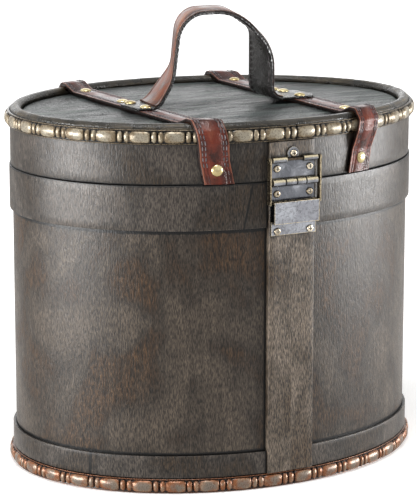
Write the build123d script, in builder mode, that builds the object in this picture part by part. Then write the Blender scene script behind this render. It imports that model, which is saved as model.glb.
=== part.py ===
"""Oval bentwood collar box with a leather-topped lid, a support hinge and a strap handle.

Millimetres. +Z is up, +X runs along the long axis of the oval and -Y is the hinge side.
The origin is the middle of the rest face under the bottom board. Insets are measured
inwards from the outer face of the bands, and the hinge and latch are drawn on flat planes
that stand just off the wall.
"""
from build123d import *
import math
import os

os.makedirs("parts", exist_ok=True)

# The oval and its main heights
half_length = 155.0
half_width = 122.2
seam_height = 220.7
seam_gap = 0.4
glue_gap = 0.1
whole_turn = math.degrees(math.tau)
quarter_turn = whole_turn / 4
wall_points = 72

# Body shell, bottom and the bentwood bands around it
band_thickness = 2.3
wall_thickness = 4.0
bottom_thickness = 6.0
middle_band_width = 31.8
base_band_width = 16.2
butt_gap = 0.3
board_fit = 0.15

# Vertical battens under the hinge
batten_margin = 0.3
batten_proud = 0.9
lid_batten_narrower = 1.0

# Moulded trim rings at the foot and the lid
trim_height = 10.5
base_trim_proud = 3.0
top_trim_proud = 3.2
trim_split = 1.0
trim_split_x = -1.0

# Lid
lid_wall_height = 34.3
lid_wall_thickness = 4.5
lid_wall_inset = 0.8
lid_board_thickness = 5.0
lid_panel_thickness = 3.7
panel_edge_radius = 1.2
roll_radius = 4.1
roll_inset = 5.1
roll_split = 0.4
top_trim_drop = 5.9

# Leather straps over the lid
strap_width = 20.0
strap_thickness = 2.8
strap_end_lift = 0.6
strap_overlap_inset = 25.0
strap_flat_inset = 30.0
strap_ramp_inset = 20.0
strap_crest_inset = 8.3
strap_shoulder_inset = 1.2
strap_clear = 0.25
strap_belly_drop = 2.0
strap_belly_length = 7.7
strap_tuck_drop = 12.8
strap_bend = 3.0
strap_tuck_bend = 8.0
strap_edge_room = 11.0
strap_left_middle = -63.7
strap_right_middle = 64.4
strap_left_angle = -0.6
strap_right_angle = -1.2
strap_lean = 11.0
rim_rivet_inset = 25.678
inner_rivet_offset = 21.0
wall_rivet_lift = 10.4

# Rivets
rivet_radius = 4.2
rivet_height = 1.9
rivet_dome = 1.6
rivet_shank_radius = 1.5
rivet_length = 7.0
shank_fit = 0.05

# Strap handle, with its two edge outlines
handle_width = 33.0
handle_middle_y = -12.5
handle_lining_thickness = 1.8
handle_cover_thickness = 1.4
handle_middle_x = -3.0
handle_half_span = 40.0
handle_height = 66.0
# corners of each edge as shares: across the half span, up the height, bend over the half span
front_shares = (
    (-1.41, 0.0, 0.2),
    (-1.13, 0.26, 0.6),
    (-0.96, 1.0, 0.55),
    (0.2, 1.0, 1.1),
    (0.96, 0.55, 0.85),
    (0.94, 0.0, 0.22),
)
back_shares = (
    (-1.28, 0.0, 0.35),
    (-0.72, 0.39, 0.45),
    (-0.61, 1.0, 0.42),
    (0.32, 1.0, 0.6),
    (0.945, 0.76, 0.3),
    (0.945, 0.0, 0.22),
)
tab_overhang_left = 12.5
tab_overhang_right = 8.1
tab_rivet_spacing = 24.0
tab_rivet_offset_left = -4.3
tab_rivet_offset_right = -3.9
tab_corner = 7.0
cover_overlap_left = 3.2
cover_overlap_right = 11.4
root_radius = 18.2
root_gap = 0.35

# Support hinge
hinge_x = -4.2
leaf_width = 36.0
leaf_thickness = 1.0
leaf_bottom_drop = 37.4
ear_radius = 4.6
ear_rise = 19.6
upper_leaf_rise = 17.2
knuckle_radius = 2.5
barrel_out = 3.0
barrel_pin_radius = 1.3
barrel_pin_end = 0.5
pin_fit = 0.05
knuckle_gap = 0.2
# where the barrel is split, as shares of the leaf width, and which leaf owns each knuckle
knuckle_shares = (0.0, 0.28, 0.53, 0.74, 1.0)
knuckle_owner = ("lower", "upper", "lower", "upper")
hinge_screw_side_inset = 4.8
lower_screw_drop = 8.2
flange_screw_drop = 34.5
upper_screw_rise = 9.6

# Stay that limits the opening, and the pocket that its foot slides in
stay_pin_rise = 15.9
stay_pin_radius = 0.9
stay_pin_head_radius = 1.6
stay_pin_head = 0.6
loop_radius = 1.9
loop_width = 11.2
stay_side_room = 2.5
stay_bar_thickness = 1.0
stay_bar_depth = 4.0
stay_foot_drop = 15.2
stay_foot_height = 2.0
stay_foot_thickness = 0.9
stay_foot_clear = 0.15
pocket_sheet = 0.9
pocket_depth = 4.9
pocket_bottom_drop = 27.7
pocket_top_drop = 13.2

# Wood screws of the hinge and the latch
screw_head_radius = 2.5
screw_head_height = 1.2
screw_dome = 0.8
screw_shank_radius = 1.2
screw_length = 7.5
cross_width = 0.7
cross_length = 3.0
cross_depth = 0.7
small_screw_radius = 1.7
small_screw_height = 0.6
small_screw_shank_radius = 0.8
small_screw_length = 4.0

# Hook latch on the far side
latch_plate_width = 24.0
latch_plate_height = 11.0
latch_sheet = 1.0
latch_corner = 3.0
latch_screw_pitch = 16.0
latch_pivot_drop = 13.0
latch_keeper_rise = 11.0
hook_lift = 1.0
hook_thickness = 1.2
hook_width = 6.0
hook_tail = 8.0
hook_notch_width = 3.8
hook_notch_room = 0.2
hook_tip_width = 9.0
pivot_radius = 1.4
pivot_head_radius = 2.7
pivot_head_height = 0.9
stud_radius = 1.3
stud_head_radius = 2.6
stud_head_height = 0.8

# Widths and places that follow from the sizes above
batten_width = leaf_width + 2 * batten_margin
lid_batten_width = batten_width - lid_batten_narrower
hinge_screw_half_pitch = leaf_width / 2 - hinge_screw_side_inset
stay_half_width = leaf_width / 2 + stay_side_room
straps = (
    ("left", strap_left_middle, strap_left_angle),
    ("right", strap_right_middle, strap_right_angle),
)
tab_reach_left = tab_overhang_left - strap_left_middle
tab_reach_right = tab_overhang_right + strap_right_middle
tab_rivet_left = strap_left_middle + tab_rivet_offset_left
tab_rivet_right = strap_right_middle + tab_rivet_offset_right

# Heights and insets that follow from the sizes above
wall_inset = band_thickness
wall_inner_inset = wall_inset + wall_thickness
body_top = seam_height - seam_gap / 2
lid_bottom = seam_height + seam_gap / 2
lid_wall_top = lid_bottom + lid_wall_height
lid_board_inset = lid_wall_inset + lid_wall_thickness + board_fit
panel_inset = roll_inset + roll_radius + board_fit
panel_bottom = lid_wall_top + glue_gap
panel_top = panel_bottom + lid_panel_thickness
roll_middle = lid_wall_top + glue_gap + roll_radius
roll_top = roll_middle + roll_radius
top_trim_inset = lid_wall_inset - glue_gap
top_trim_bottom = lid_wall_top - top_trim_drop
strap_bottom = panel_top + glue_gap
strap_top = strap_bottom + strap_thickness
tab_bottom = strap_top + glue_gap
tab_middle = tab_bottom + handle_lining_thickness
batten_face = half_width + batten_proud
latch_face = half_width + glue_gap

hinge_plane = Plane(origin=(hinge_x, -batten_face, 0), x_dir=(1, 0, 0), z_dir=(0, -1, 0))
latch_plane = Plane(origin=(0, latch_face, 0), x_dir=(-1, 0, 0), z_dir=(0, 1, 0))
keeper_plane = latch_plane.offset(-lid_wall_inset)


def oval(inset, mode=Mode.ADD):
    """Oval set in from the outer face of the bands."""
    return Ellipse(half_length - inset, half_width - inset, mode=mode)


def wall_oval(inset, mode=Mode.ADD):
    """The same oval as one smooth closed curve through points, for the walls that are drilled."""
    points = [
        (
            (half_length - inset) * math.cos(math.tau * step / wall_points),
            (half_width - inset) * math.sin(math.tau * step / wall_points),
        )
        for step in range(wall_points)
    ]
    with BuildLine() as outline:
        Spline(*points, periodic=True)
    make_face(outline.edges(), mode=mode)


def oval_angle(x, inset):
    """Parameter angle on the oval's hinge side at the given X, in degrees."""
    return -math.degrees(math.acos(x / (half_length - inset)))


def oval_reach(x, inset):
    """Y of the oval on its latch side at the given X."""
    return (half_width - inset) * math.sqrt(1 - (x / (half_length - inset)) ** 2)


def oval_edge(inset, start, size):
    """Part of an oval's edge, anticlockwise from a parameter angle."""
    return EllipticalCenterArc(
        (0, 0), half_length - inset, half_width - inset, start, arc_size=size
    )


def section_plane(edge):
    """Plane across the start of an edge, with X outwards from the box and Y up."""
    tangent = edge % 0
    return Plane(origin=edge @ 0, x_dir=(tangent.Y, -tangent.X, 0), z_dir=tangent * -1)


def wall_place(x, side, height, inset):
    """Location on an upright oval face, with Z outwards."""
    along = half_length - inset
    across = half_width - inset
    y = side * oval_reach(x, inset)
    outward = Vector(x / along**2, y / across**2, 0).normalized()
    return Plane(origin=(x, y, height), x_dir=(-outward.Y, outward.X, 0), z_dir=outward).location


def save(piece, name):
    """Label a finished piece and write it."""
    piece.part.label = name
    export_step(piece.part, f"parts/{name}.step")


# Screw and rivet places
lower_screws = [
    hinge_plane.offset(leaf_thickness) * Pos(side * hinge_screw_half_pitch, seam_height - lower_screw_drop)
    for side in (-1, 1)
]
flange_screws = [
    hinge_plane.offset(leaf_thickness + pocket_sheet)
    * Pos(side * hinge_screw_half_pitch, seam_height - flange_screw_drop)
    for side in (-1, 1)
]
upper_screws = [
    hinge_plane.offset(leaf_thickness) * Pos(side * hinge_screw_half_pitch, seam_height + upper_screw_rise)
    for side in (-1, 1)
]
ear_screws = [hinge_plane.offset(leaf_thickness) * Pos(0, seam_height + ear_rise)]
body_screw_places = lower_screws + flange_screws
lid_screw_places = upper_screws + ear_screws
latch_height = seam_height - latch_pivot_drop
keeper_height = seam_height + latch_keeper_rise
latch_screw_places = [
    latch_plane.offset(latch_sheet) * Pos(side * latch_screw_pitch / 2, latch_height) for side in (-1, 1)
]
keeper_screw_places = [
    keeper_plane.offset(latch_sheet) * Pos(side * latch_screw_pitch / 2, keeper_height) for side in (-1, 1)
]


def strap_x(middle, splay, y):
    """X of a strap's centre line at the given Y."""
    return middle - y * math.tan(math.radians(splay))


def strap_shift(middle, height):
    """How far a strap's hanging end has leaned towards the middle of the box at a height."""
    return -math.copysign((panel_top - height) * math.tan(math.radians(strap_lean)), middle)


strap_wall_inset = lid_wall_inset - 2 * glue_gap - strap_thickness
rim_rivet_y = oval_reach(strap_left_middle, rim_rivet_inset)
top_rivet_places = [
    Location((strap_x(middle, splay, y), y, strap_top))
    for _, middle, splay in straps
    for y in (-rim_rivet_y, inner_rivet_offset, rim_rivet_y)
]
wall_rivet_places = [
    wall_place(
        strap_x(middle, splay, side * half_width) + strap_shift(middle, lid_bottom + wall_rivet_lift),
        side,
        lid_bottom + wall_rivet_lift,
        strap_wall_inset,
    )
    for _, middle, splay in straps
    for side in (-1, 1)
]
strap_rivet_sites = top_rivet_places + wall_rivet_places
tab_rivet_places = [
    Location((x, handle_middle_y + side * tab_rivet_spacing / 2, tab_middle))
    for x in (tab_rivet_left, tab_rivet_right)
    for side in (-1, 1)
]


def shank_holes(places, radius, length):
    """Cut holes for shanks that point down from each place."""
    with Locations(*places):
        Cylinder(
            radius + shank_fit,
            length + shank_fit,
            align=(Align.CENTER, Align.CENTER, Align.MAX),
            mode=Mode.SUBTRACT,
        )


# Body: bottom board
with BuildPart() as bottom_board:
    with BuildSketch():
        oval(wall_inner_inset + board_fit)
    extrude(amount=bottom_thickness)
save(bottom_board, "bottom_board")

# Body: bent wall
with BuildPart() as body_wall:
    with BuildSketch():
        wall_oval(wall_inset)
        wall_oval(wall_inner_inset, mode=Mode.SUBTRACT)
    extrude(amount=body_top)
    shank_holes(body_screw_places, screw_shank_radius, screw_length)
    shank_holes(latch_screw_places, small_screw_shank_radius, small_screw_length)
save(body_wall, "body_wall")

# Body: middle band and base band, each butting on the batten
batten_slot = batten_width + 2 * butt_gap
batten_x = hinge_x
bands = (
    ("middle_band", body_top - middle_band_width, middle_band_width),
    ("base_band", trim_height + butt_gap, base_band_width),
)
for band_name, band_bottom, band_width in bands:
    with BuildPart() as band:
        with BuildSketch(Plane.XY.offset(band_bottom)):
            oval(0)
            oval(wall_inset - glue_gap, mode=Mode.SUBTRACT)
            with Locations((batten_x, -half_width)):
                Rectangle(batten_slot, half_width, mode=Mode.SUBTRACT)
        extrude(amount=band_width)
        shank_holes(latch_screw_places, small_screw_shank_radius, small_screw_length)
        shank_holes([latch_plane * Pos(0, latch_height)], pivot_radius, band_thickness)
    save(band, band_name)

# Body: batten under the hinge, with a flat face and a hollow back
with BuildPart() as body_batten:
    with BuildSketch(Plane.XY.offset(trim_height + butt_gap)):
        with Locations((batten_x, -batten_face)):
            Rectangle(batten_width, half_width / 2, align=(Align.CENTER, Align.MIN))
        oval(wall_inset - glue_gap, mode=Mode.SUBTRACT)
    extrude(amount=body_top - trim_height - butt_gap)
    shank_holes(body_screw_places, screw_shank_radius, screw_length)
save(body_batten, "body_batten")

# Body: half-round trim ring at the foot, split at the front
with BuildPart() as base_trim:
    base_trim_inset = wall_inset - glue_gap
    with BuildLine(Plane.XY.offset(trim_height / 2)):
        split_start = oval_angle(trim_split_x + trim_split / 2, base_trim_inset)
        split_end = oval_angle(trim_split_x - trim_split / 2, base_trim_inset)
        ring = oval_edge(base_trim_inset, split_start, whole_turn - split_start + split_end)
    with BuildSketch(section_plane(ring)):
        with BuildLine():
            ThreePointArc(
                (0, -trim_height / 2),
                (base_trim_inset + base_trim_proud, 0),
                (0, trim_height / 2),
            )
            Line((0, trim_height / 2), (0, -trim_height / 2))
        make_face()
    sweep(path=ring)
save(base_trim, "base_trim")

# Lid: bent wall
with BuildPart() as lid_wall:
    with BuildSketch(Plane.XY.offset(lid_bottom)):
        wall_oval(lid_wall_inset)
        wall_oval(lid_wall_inset + lid_wall_thickness, mode=Mode.SUBTRACT)
    extrude(amount=lid_wall_height)
    shank_holes(lid_screw_places, screw_shank_radius, screw_length)
    shank_holes(keeper_screw_places, small_screw_shank_radius, small_screw_length)
    shank_holes(wall_rivet_places, rivet_shank_radius, rivet_length)
save(lid_wall, "lid_wall")

# Lid: board inside the wall
with BuildPart() as lid_board:
    with BuildSketch(Plane.XY.offset(lid_wall_top - lid_board_thickness)):
        oval(lid_board_inset)
    extrude(amount=lid_board_thickness)
    shank_holes(top_rivet_places, rivet_shank_radius, rivet_length)
save(lid_board, "lid_board")

# Lid: padded leather panel
with BuildPart() as lid_panel:
    with BuildSketch(Plane.XY.offset(panel_bottom)):
        oval(panel_inset)
    extrude(amount=lid_panel_thickness)
    fillet(lid_panel.edges().group_by(Axis.Z)[-1], radius=panel_edge_radius)
    shank_holes(top_rivet_places + tab_rivet_places, rivet_shank_radius, rivet_length)
save(lid_panel, "lid_panel")

# Lid: stuffed leather roll around the rim, joined at the far side
with BuildPart() as rim_roll:
    with BuildLine(Plane.XY.offset(roll_middle)):
        roll_start = -oval_angle(-roll_split / 2, roll_inset)
        roll_end = -oval_angle(roll_split / 2, roll_inset)
        ring = oval_edge(roll_inset, roll_start, whole_turn - roll_start + roll_end)
    with BuildSketch(section_plane(ring)):
        Circle(roll_radius)
    sweep(path=ring)
save(rim_roll, "rim_roll")

# Lid: half-round trim ring, split at the front
with BuildPart() as top_trim:
    with BuildLine(Plane.XY.offset(top_trim_bottom + trim_height / 2)):
        split_start = oval_angle(trim_split_x + trim_split / 2, top_trim_inset)
        split_end = oval_angle(trim_split_x - trim_split / 2, top_trim_inset)
        ring = oval_edge(top_trim_inset, split_start, whole_turn - split_start + split_end)
    with BuildSketch(section_plane(ring)):
        with BuildLine():
            ThreePointArc(
                (0, -trim_height / 2),
                (top_trim_inset + top_trim_proud, 0),
                (0, trim_height / 2),
            )
            Line((0, trim_height / 2), (0, -trim_height / 2))
        make_face()
    sweep(path=ring)
save(top_trim, "top_trim")

# Lid: short batten under the upper leaf
with BuildPart() as lid_batten:
    with BuildSketch(Plane.XY.offset(lid_bottom)):
        with Locations((batten_x, -batten_face)):
            Rectangle(lid_batten_width, half_width / 2, align=(Align.CENTER, Align.MIN))
        oval(lid_wall_inset - glue_gap, mode=Mode.SUBTRACT)
    extrude(amount=top_trim_bottom - butt_gap - lid_bottom)
    shank_holes(lid_screw_places, screw_shank_radius, screw_length)
save(lid_batten, "lid_batten")

# Lid: straps, bent over the rim roll and the trim ring at both ends
strap_line = strap_bottom + strap_thickness / 2
strap_crest = roll_top + glue_gap + strap_thickness / 2
strap_belly_out = top_trim_proud + strap_clear + strap_thickness / 2
strap_wall_out = strap_thickness / 2 + glue_gap - lid_wall_inset
belly_top = panel_top - strap_belly_drop + strap_thickness / 2
belly_bottom = belly_top - strap_belly_length
tuck = belly_bottom - strap_tuck_drop
strap_points = (
    (-strap_flat_inset, strap_line),
    (-strap_ramp_inset, strap_line),
    (-strap_crest_inset, strap_crest),
    (-strap_shoulder_inset, strap_crest),
    (strap_belly_out, belly_top),
    (strap_belly_out, belly_bottom),
    (strap_wall_out, tuck),
    (strap_wall_out, lid_bottom + strap_end_lift),
)
strap_bends = (strap_bend, strap_bend, strap_bend, strap_bend, strap_bend, strap_tuck_bend)
for strap_name, middle, splay in straps:
    with BuildPart() as strap:
        with BuildSketch(Plane.XY.offset(strap_bottom)):
            oval(strap_overlap_inset)
        extrude(amount=strap_thickness)
        for side in (-1, 1):
            end_x = strap_x(middle, splay, side * half_width)
            ends = sorted(
                -side * oval_angle(end_x + reach, 0)
                for reach in (-strap_width / 2 - strap_edge_room, strap_width / 2 + strap_edge_room)
            )
            with BuildLine():
                edge = oval_edge(0, ends[0], ends[1] - ends[0])
            with BuildSketch(section_plane(edge)):
                with BuildLine():
                    FilletPolyline(*strap_points, radius=strap_bends)
                trace(line_width=strap_thickness)
            sweep(path=edge)
        turn = math.radians(splay)
        across = Plane(
            origin=(middle, 0, 0),
            x_dir=(math.cos(turn), math.sin(turn), 0),
            z_dir=(math.sin(turn), -math.cos(turn), 0),
        )
        with BuildSketch(across):
            Polygon(
                (-strap_width / 2, 2 * seam_height),
                (-strap_width / 2, panel_top),
                (strap_shift(middle, 0) - strap_width / 2, 0),
                (strap_shift(middle, 0) + strap_width / 2, 0),
                (strap_width / 2, panel_top),
                (strap_width / 2, 2 * seam_height),
                align=None,
            )
        extrude(amount=half_width + strap_width, both=True, mode=Mode.INTERSECT)
        shank_holes(strap_rivet_sites + tab_rivet_places, rivet_shank_radius, rivet_length)
    save(strap, f"strap_{strap_name}")

# Rivet with a domed cap
with BuildPart() as rivet:
    with BuildSketch():
        Circle(rivet_radius)
    extrude(amount=rivet_height)
    fillet(rivet.edges().group_by(Axis.Z)[-1], radius=rivet_dome)
    with BuildSketch():
        Circle(rivet_shank_radius)
    extrude(amount=-rivet_length)

with BuildPart() as strap_rivets:
    with Locations(*strap_rivet_sites):
        add(rivet.part)
save(strap_rivets, "strap_rivets")

with BuildPart() as tab_rivets:
    with Locations(*tab_rivet_places):
        add(rivet.part)
save(tab_rivets, "tab_rivets")

# Handle: one edge outline for each side of the strap, from the left tab to the right tab
def outline_points(rows, left_reach, right_reach):
    """Corners of an edge outline, from shares of the handle's span and height."""
    corners = [
        (handle_middle_x + across * handle_half_span, tab_middle + up * handle_height)
        for across, up, _ in rows
    ]
    return [(-left_reach, tab_middle), *corners, (right_reach, tab_middle)]


def strap_layer(thickness, side):
    """Join one leather layer's outlines on both edge planes of the handle."""
    ends = []
    for plane, rows in ((handle_front, front_shares), (handle_back, back_shares)):
        with BuildSketch(plane) as end:
            with BuildLine():
                FilletPolyline(
                    *outline_points(rows, tab_reach_left, tab_reach_right),
                    radius=[bend * handle_half_span for _, _, bend in rows],
                )
                offset(amount=thickness, side=side, closed=True)
            make_face()
        ends.append(end.sketch)
    loft(ends, ruled=True)


def root_cylinder(radius, mode):
    """Cylinder along X around both roots of the handle."""
    with Locations((0, handle_middle_y, tab_middle)):
        Cylinder(radius, 2 * half_length, rotation=(0, quarter_turn, 0), mode=mode)


handle_front = Plane.XZ.offset(handle_width / 2 - handle_middle_y)
handle_back = Plane.XZ.offset(-handle_width / 2 - handle_middle_y)

with BuildPart() as lining_strip:
    strap_layer(handle_lining_thickness, Side.RIGHT)

# the cover stops just past the roots of the legs and leaves the tabs bare
cover_left = handle_middle_x + front_shares[0][0] * handle_half_span - cover_overlap_left
cover_right = handle_middle_x + front_shares[-1][0] * handle_half_span + cover_overlap_right
with BuildPart() as cover_strip:
    strap_layer(handle_cover_thickness, Side.LEFT)
    with Locations((cover_left, 0, 0)):
        Box(
            cover_right - cover_left,
            2 * half_width,
            4 * seam_height,
            align=(Align.MIN, Align.CENTER, Align.CENTER),
            mode=Mode.INTERSECT,
        )

with BuildPart() as handle_lining:
    add(lining_strip.part)
    root_cylinder(root_radius + root_gap / 2, Mode.SUBTRACT)
save(handle_lining, "handle_lining")

with BuildPart() as handle_cover:
    add(cover_strip.part)
    root_cylinder(root_radius + root_gap / 2, Mode.SUBTRACT)
save(handle_cover, "handle_cover")

# Handle: the two tabs riveted to the straps, with the roots of the legs
for tab_name, keep in (("left", Keep.BOTTOM), ("right", Keep.TOP)):
    with BuildPart() as tab:
        add(lining_strip.part)
        add(cover_strip.part)
        root_cylinder(root_radius - root_gap / 2, Mode.INTERSECT)
        split(bisect_by=Plane.YZ.offset(handle_middle_x), keep=keep)
        upright = tab.edges().filter_by(Axis.Z).group_by(Axis.X)
        fillet(upright[0] if tab_name == "left" else upright[-1], radius=tab_corner)
        shank_holes(tab_rivet_places, rivet_shank_radius, rivet_length)
    save(tab, f"handle_tab_{tab_name}")


# Hinge: shapes that both leaves share
barrel_y = -(batten_face + barrel_out)
leaf_left = hinge_x - leaf_width / 2


def barrel_knuckles(owner, leaf_side):
    """Add one leaf's knuckles and tongues, then bore them for the pin."""
    shares = zip(knuckle_shares, knuckle_shares[1:], knuckle_owner)
    for start, end, holder in shares:
        if holder == owner:
            low = leaf_left + start * leaf_width + knuckle_gap / 2
            with BuildSketch(Plane.YZ.offset(low)) as knuckle:
                with Locations((barrel_y, seam_height)):
                    Circle(knuckle_radius)
                with Locations((-batten_face, seam_height)):
                    Rectangle(
                        leaf_thickness,
                        knuckle_radius + knuckle_gap,
                        align=(Align.MAX, Align.MAX if leaf_side < 0 else Align.MIN),
                    )
            extrude(knuckle.sketch, amount=(end - start) * leaf_width - knuckle_gap)
    with BuildSketch(Plane.YZ.offset(leaf_left)) as bore:
        with Locations((barrel_y, seam_height)):
            Circle(barrel_pin_radius + pin_fit)
    extrude(bore.sketch, amount=leaf_width, mode=Mode.SUBTRACT)


leaf_edge = knuckle_radius + knuckle_gap

# Hinge: lower leaf
with BuildPart() as lower_leaf:
    with BuildSketch(hinge_plane):
        with Locations((0, seam_height - leaf_edge)):
            Rectangle(leaf_width, leaf_bottom_drop - leaf_edge, align=(Align.CENTER, Align.MAX))
    extrude(amount=leaf_thickness)
    barrel_knuckles("lower", -1)
    shank_holes(body_screw_places, screw_shank_radius, screw_length)
save(lower_leaf, "lower_leaf")

# Hinge: upper leaf with its ear and the two loops that hold the stay's pin
loop_centre = (barrel_y, seam_height + stay_pin_rise)
with BuildPart() as upper_leaf:
    with BuildSketch(hinge_plane):
        with Locations((0, seam_height + leaf_edge)):
            Rectangle(leaf_width, upper_leaf_rise - leaf_edge, align=(Align.CENTER, Align.MIN))
        with Locations((0, seam_height + ear_rise)):
            Circle(ear_radius)
    extrude(amount=leaf_thickness)
    barrel_knuckles("upper", 1)
    for loop_left in (leaf_left, leaf_left + leaf_width - loop_width):
        with BuildSketch(Plane.YZ.offset(loop_left)):
            with Locations(loop_centre):
                Circle(loop_radius)
            with Locations((-batten_face, seam_height + stay_pin_rise)):
                Rectangle(barrel_out, loop_radius, align=(Align.MAX, Align.CENTER))
        extrude(amount=loop_width)
    with BuildSketch(Plane.YZ.offset(leaf_left)):
        with Locations(loop_centre):
            Circle(stay_pin_radius + pin_fit)
    extrude(amount=leaf_width, mode=Mode.SUBTRACT)
    shank_holes(lid_screw_places, screw_shank_radius, screw_length)
save(upper_leaf, "upper_leaf")

# Hinge: barrel pin
with BuildPart() as barrel_pin:
    with BuildSketch(Plane.YZ.offset(leaf_left - barrel_pin_end)):
        with Locations((barrel_y, seam_height)):
            Circle(barrel_pin_radius)
    extrude(amount=leaf_width + 2 * barrel_pin_end)
save(barrel_pin, "barrel_pin")

# Hinge: pin of the stay, headed at both ends
with BuildPart() as stay_pin:
    pin_reach = stay_half_width + pin_fit
    with BuildSketch(Plane.YZ.offset(hinge_x - pin_reach)):
        with Locations(loop_centre):
            Circle(stay_pin_radius)
    extrude(amount=2 * pin_reach)
    for head_start in (-pin_reach - stay_pin_head, pin_reach):
        with BuildSketch(Plane.YZ.offset(hinge_x + head_start)):
            with Locations(loop_centre):
                Circle(stay_pin_head_radius)
        extrude(amount=stay_pin_head)
save(stay_pin, "stay_pin")

# Stay: two bars on edge, joined by a flat foot behind the pocket plate
foot_top = seam_height - stay_foot_drop + stay_foot_height
foot_back = batten_face + leaf_thickness + stay_foot_clear
with BuildPart() as stay_frame:
    for bar_start in (-stay_half_width, stay_half_width - stay_bar_thickness):
        with BuildSketch(Plane.YZ.offset(hinge_x + bar_start)):
            with Locations(loop_centre):
                Circle(stay_bar_depth / 2)
                Rectangle(
                    stay_bar_depth,
                    stay_pin_rise + stay_foot_drop,
                    align=(Align.CENTER, Align.MAX),
                )
            with Locations(loop_centre):
                Circle(stay_pin_radius + pin_fit, mode=Mode.SUBTRACT)
        extrude(amount=stay_bar_thickness)
    with BuildSketch(Plane.YZ.offset(hinge_x - stay_half_width)):
        with Locations((-foot_back, foot_top)):
            Rectangle(stay_foot_thickness, stay_foot_height, align=(Align.MAX, Align.MAX))
    extrude(amount=2 * stay_half_width)
save(stay_frame, "stay_frame")

# Pocket: flange under two screws, a step out, and the plate that hides the stay's foot
pocket_floor = seam_height - pocket_bottom_drop
pocket_back = -(batten_face + leaf_thickness)
pocket_out = pocket_back - pocket_depth - pocket_sheet
with BuildPart() as stay_pocket:
    with BuildSketch(Plane.YZ.offset(leaf_left)):
        with BuildLine():
            Polyline(
                (pocket_back, seam_height - leaf_bottom_drop),
                (pocket_back - pocket_sheet, seam_height - leaf_bottom_drop),
                (pocket_back - pocket_sheet, pocket_floor - pocket_sheet),
                (pocket_out, pocket_floor - pocket_sheet),
                (pocket_out, seam_height - pocket_top_drop),
                (pocket_out + pocket_sheet, seam_height - pocket_top_drop),
                (pocket_out + pocket_sheet, pocket_floor),
                (pocket_back, pocket_floor),
                close=True,
            )
        make_face()
    extrude(amount=leaf_width)
    shank_holes(flange_screws, screw_shank_radius, screw_length)
save(stay_pocket, "stay_pocket")

# Wood screws with a domed, cross-slotted head
with BuildPart() as wood_screw:
    with BuildSketch():
        Circle(screw_head_radius)
    extrude(amount=screw_head_height)
    fillet(wood_screw.edges().group_by(Axis.Z)[-1], radius=screw_dome)
    with BuildSketch(Plane.XY.offset(screw_head_height)):
        Rectangle(cross_length, cross_width)
        Rectangle(cross_width, cross_length)
    extrude(amount=-cross_depth, mode=Mode.SUBTRACT)
    with BuildSketch():
        Circle(screw_shank_radius)
    extrude(amount=-screw_length)

with BuildPart() as small_screw:
    with BuildSketch():
        Circle(small_screw_radius)
    extrude(amount=small_screw_height)
    with BuildSketch():
        Circle(small_screw_shank_radius)
    extrude(amount=-small_screw_length)

screw_sets = (
    ("hinge_screws_body", wood_screw, body_screw_places),
    ("hinge_screws_lid", wood_screw, lid_screw_places),
    ("latch_screws_body", small_screw, latch_screw_places),
    ("latch_screws_lid", small_screw, keeper_screw_places),
)
for set_name, screw, places in screw_sets:
    with BuildPart() as screws:
        with Locations(*places):
            add(screw.part)
    save(screws, set_name)

# Latch: plate with a raised boss for the hook's pivot
hook_back = latch_sheet + hook_lift
with BuildPart() as latch_plate:
    with BuildSketch(latch_plane):
        with Locations((0, latch_height)):
            RectangleRounded(latch_plate_width, latch_plate_height, latch_corner)
    extrude(amount=latch_sheet)
    with BuildSketch(latch_plane.offset(latch_sheet)):
        with Locations((0, latch_height)):
            Circle(pivot_head_radius)
    extrude(amount=hook_lift - glue_gap)
    shank_holes([latch_plane.offset(hook_back) * Pos(0, latch_height)], pivot_radius, hook_back)
    shank_holes(latch_screw_places, small_screw_shank_radius, small_screw_length)
save(latch_plate, "latch_plate")

# Latch: pivot rivet, from inside the band out to its head over the hook
pivot_head_back = hook_back + hook_thickness + glue_gap
with BuildPart() as latch_pivot:
    with BuildSketch(latch_plane.offset(-band_thickness + glue_gap)):
        with Locations((0, latch_height)):
            Circle(pivot_radius)
    extrude(amount=band_thickness - glue_gap + pivot_head_back)
    with BuildSketch(latch_plane.offset(pivot_head_back)):
        with Locations((0, latch_height)):
            Circle(pivot_head_radius)
    extrude(amount=pivot_head_height)
save(latch_pivot, "latch_pivot")

# Latch: hook, hanging open, with its notch on the side that leads as it swings up
hook_reach = latch_pivot_drop + latch_keeper_rise
with BuildPart() as latch_hook:
    with BuildSketch(latch_plane.offset(hook_back)):
        with Locations((0, latch_height)):
            Circle(hook_width / 2 + pin_fit)
            Rectangle(hook_width, hook_reach, align=(Align.CENTER, Align.MAX))
            Rectangle(
                hook_width / 2, hook_reach + hook_tail, align=(Align.CENTER, Align.MAX)
            )
            Circle(pivot_radius + pin_fit, mode=Mode.SUBTRACT)
        with Locations((0, latch_height - hook_reach)):
            Circle(hook_tip_width / 2)
        with Locations((0, latch_height - hook_reach - hook_tail)):
            Circle(hook_width / 2)
        with Locations((-stud_radius - hook_notch_room, latch_height - hook_reach)):
            Rectangle(
                hook_tip_width,
                hook_notch_width,
                align=(Align.MIN, Align.CENTER),
                mode=Mode.SUBTRACT,
            )
    extrude(amount=hook_thickness)
save(latch_hook, "latch_hook")

# Latch: keeper plate and stud on the lid
stud_length = lid_wall_inset + pivot_head_back + glue_gap - latch_sheet
with BuildPart() as latch_keeper:
    with BuildSketch(keeper_plane):
        with Locations((0, keeper_height)):
            RectangleRounded(latch_plate_width, latch_plate_height, latch_corner)
    extrude(amount=latch_sheet)
    with BuildSketch(keeper_plane.offset(latch_sheet)):
        with Locations((0, keeper_height)):
            Circle(stud_radius)
    extrude(amount=stud_length)
    with BuildSketch(keeper_plane.offset(latch_sheet + stud_length)):
        with Locations((0, keeper_height)):
            Circle(stud_head_radius)
    extrude(amount=stud_head_height)
    shank_holes(keeper_screw_places, small_screw_shank_radius, small_screw_length)
save(latch_keeper, "latch_keeper")
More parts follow.
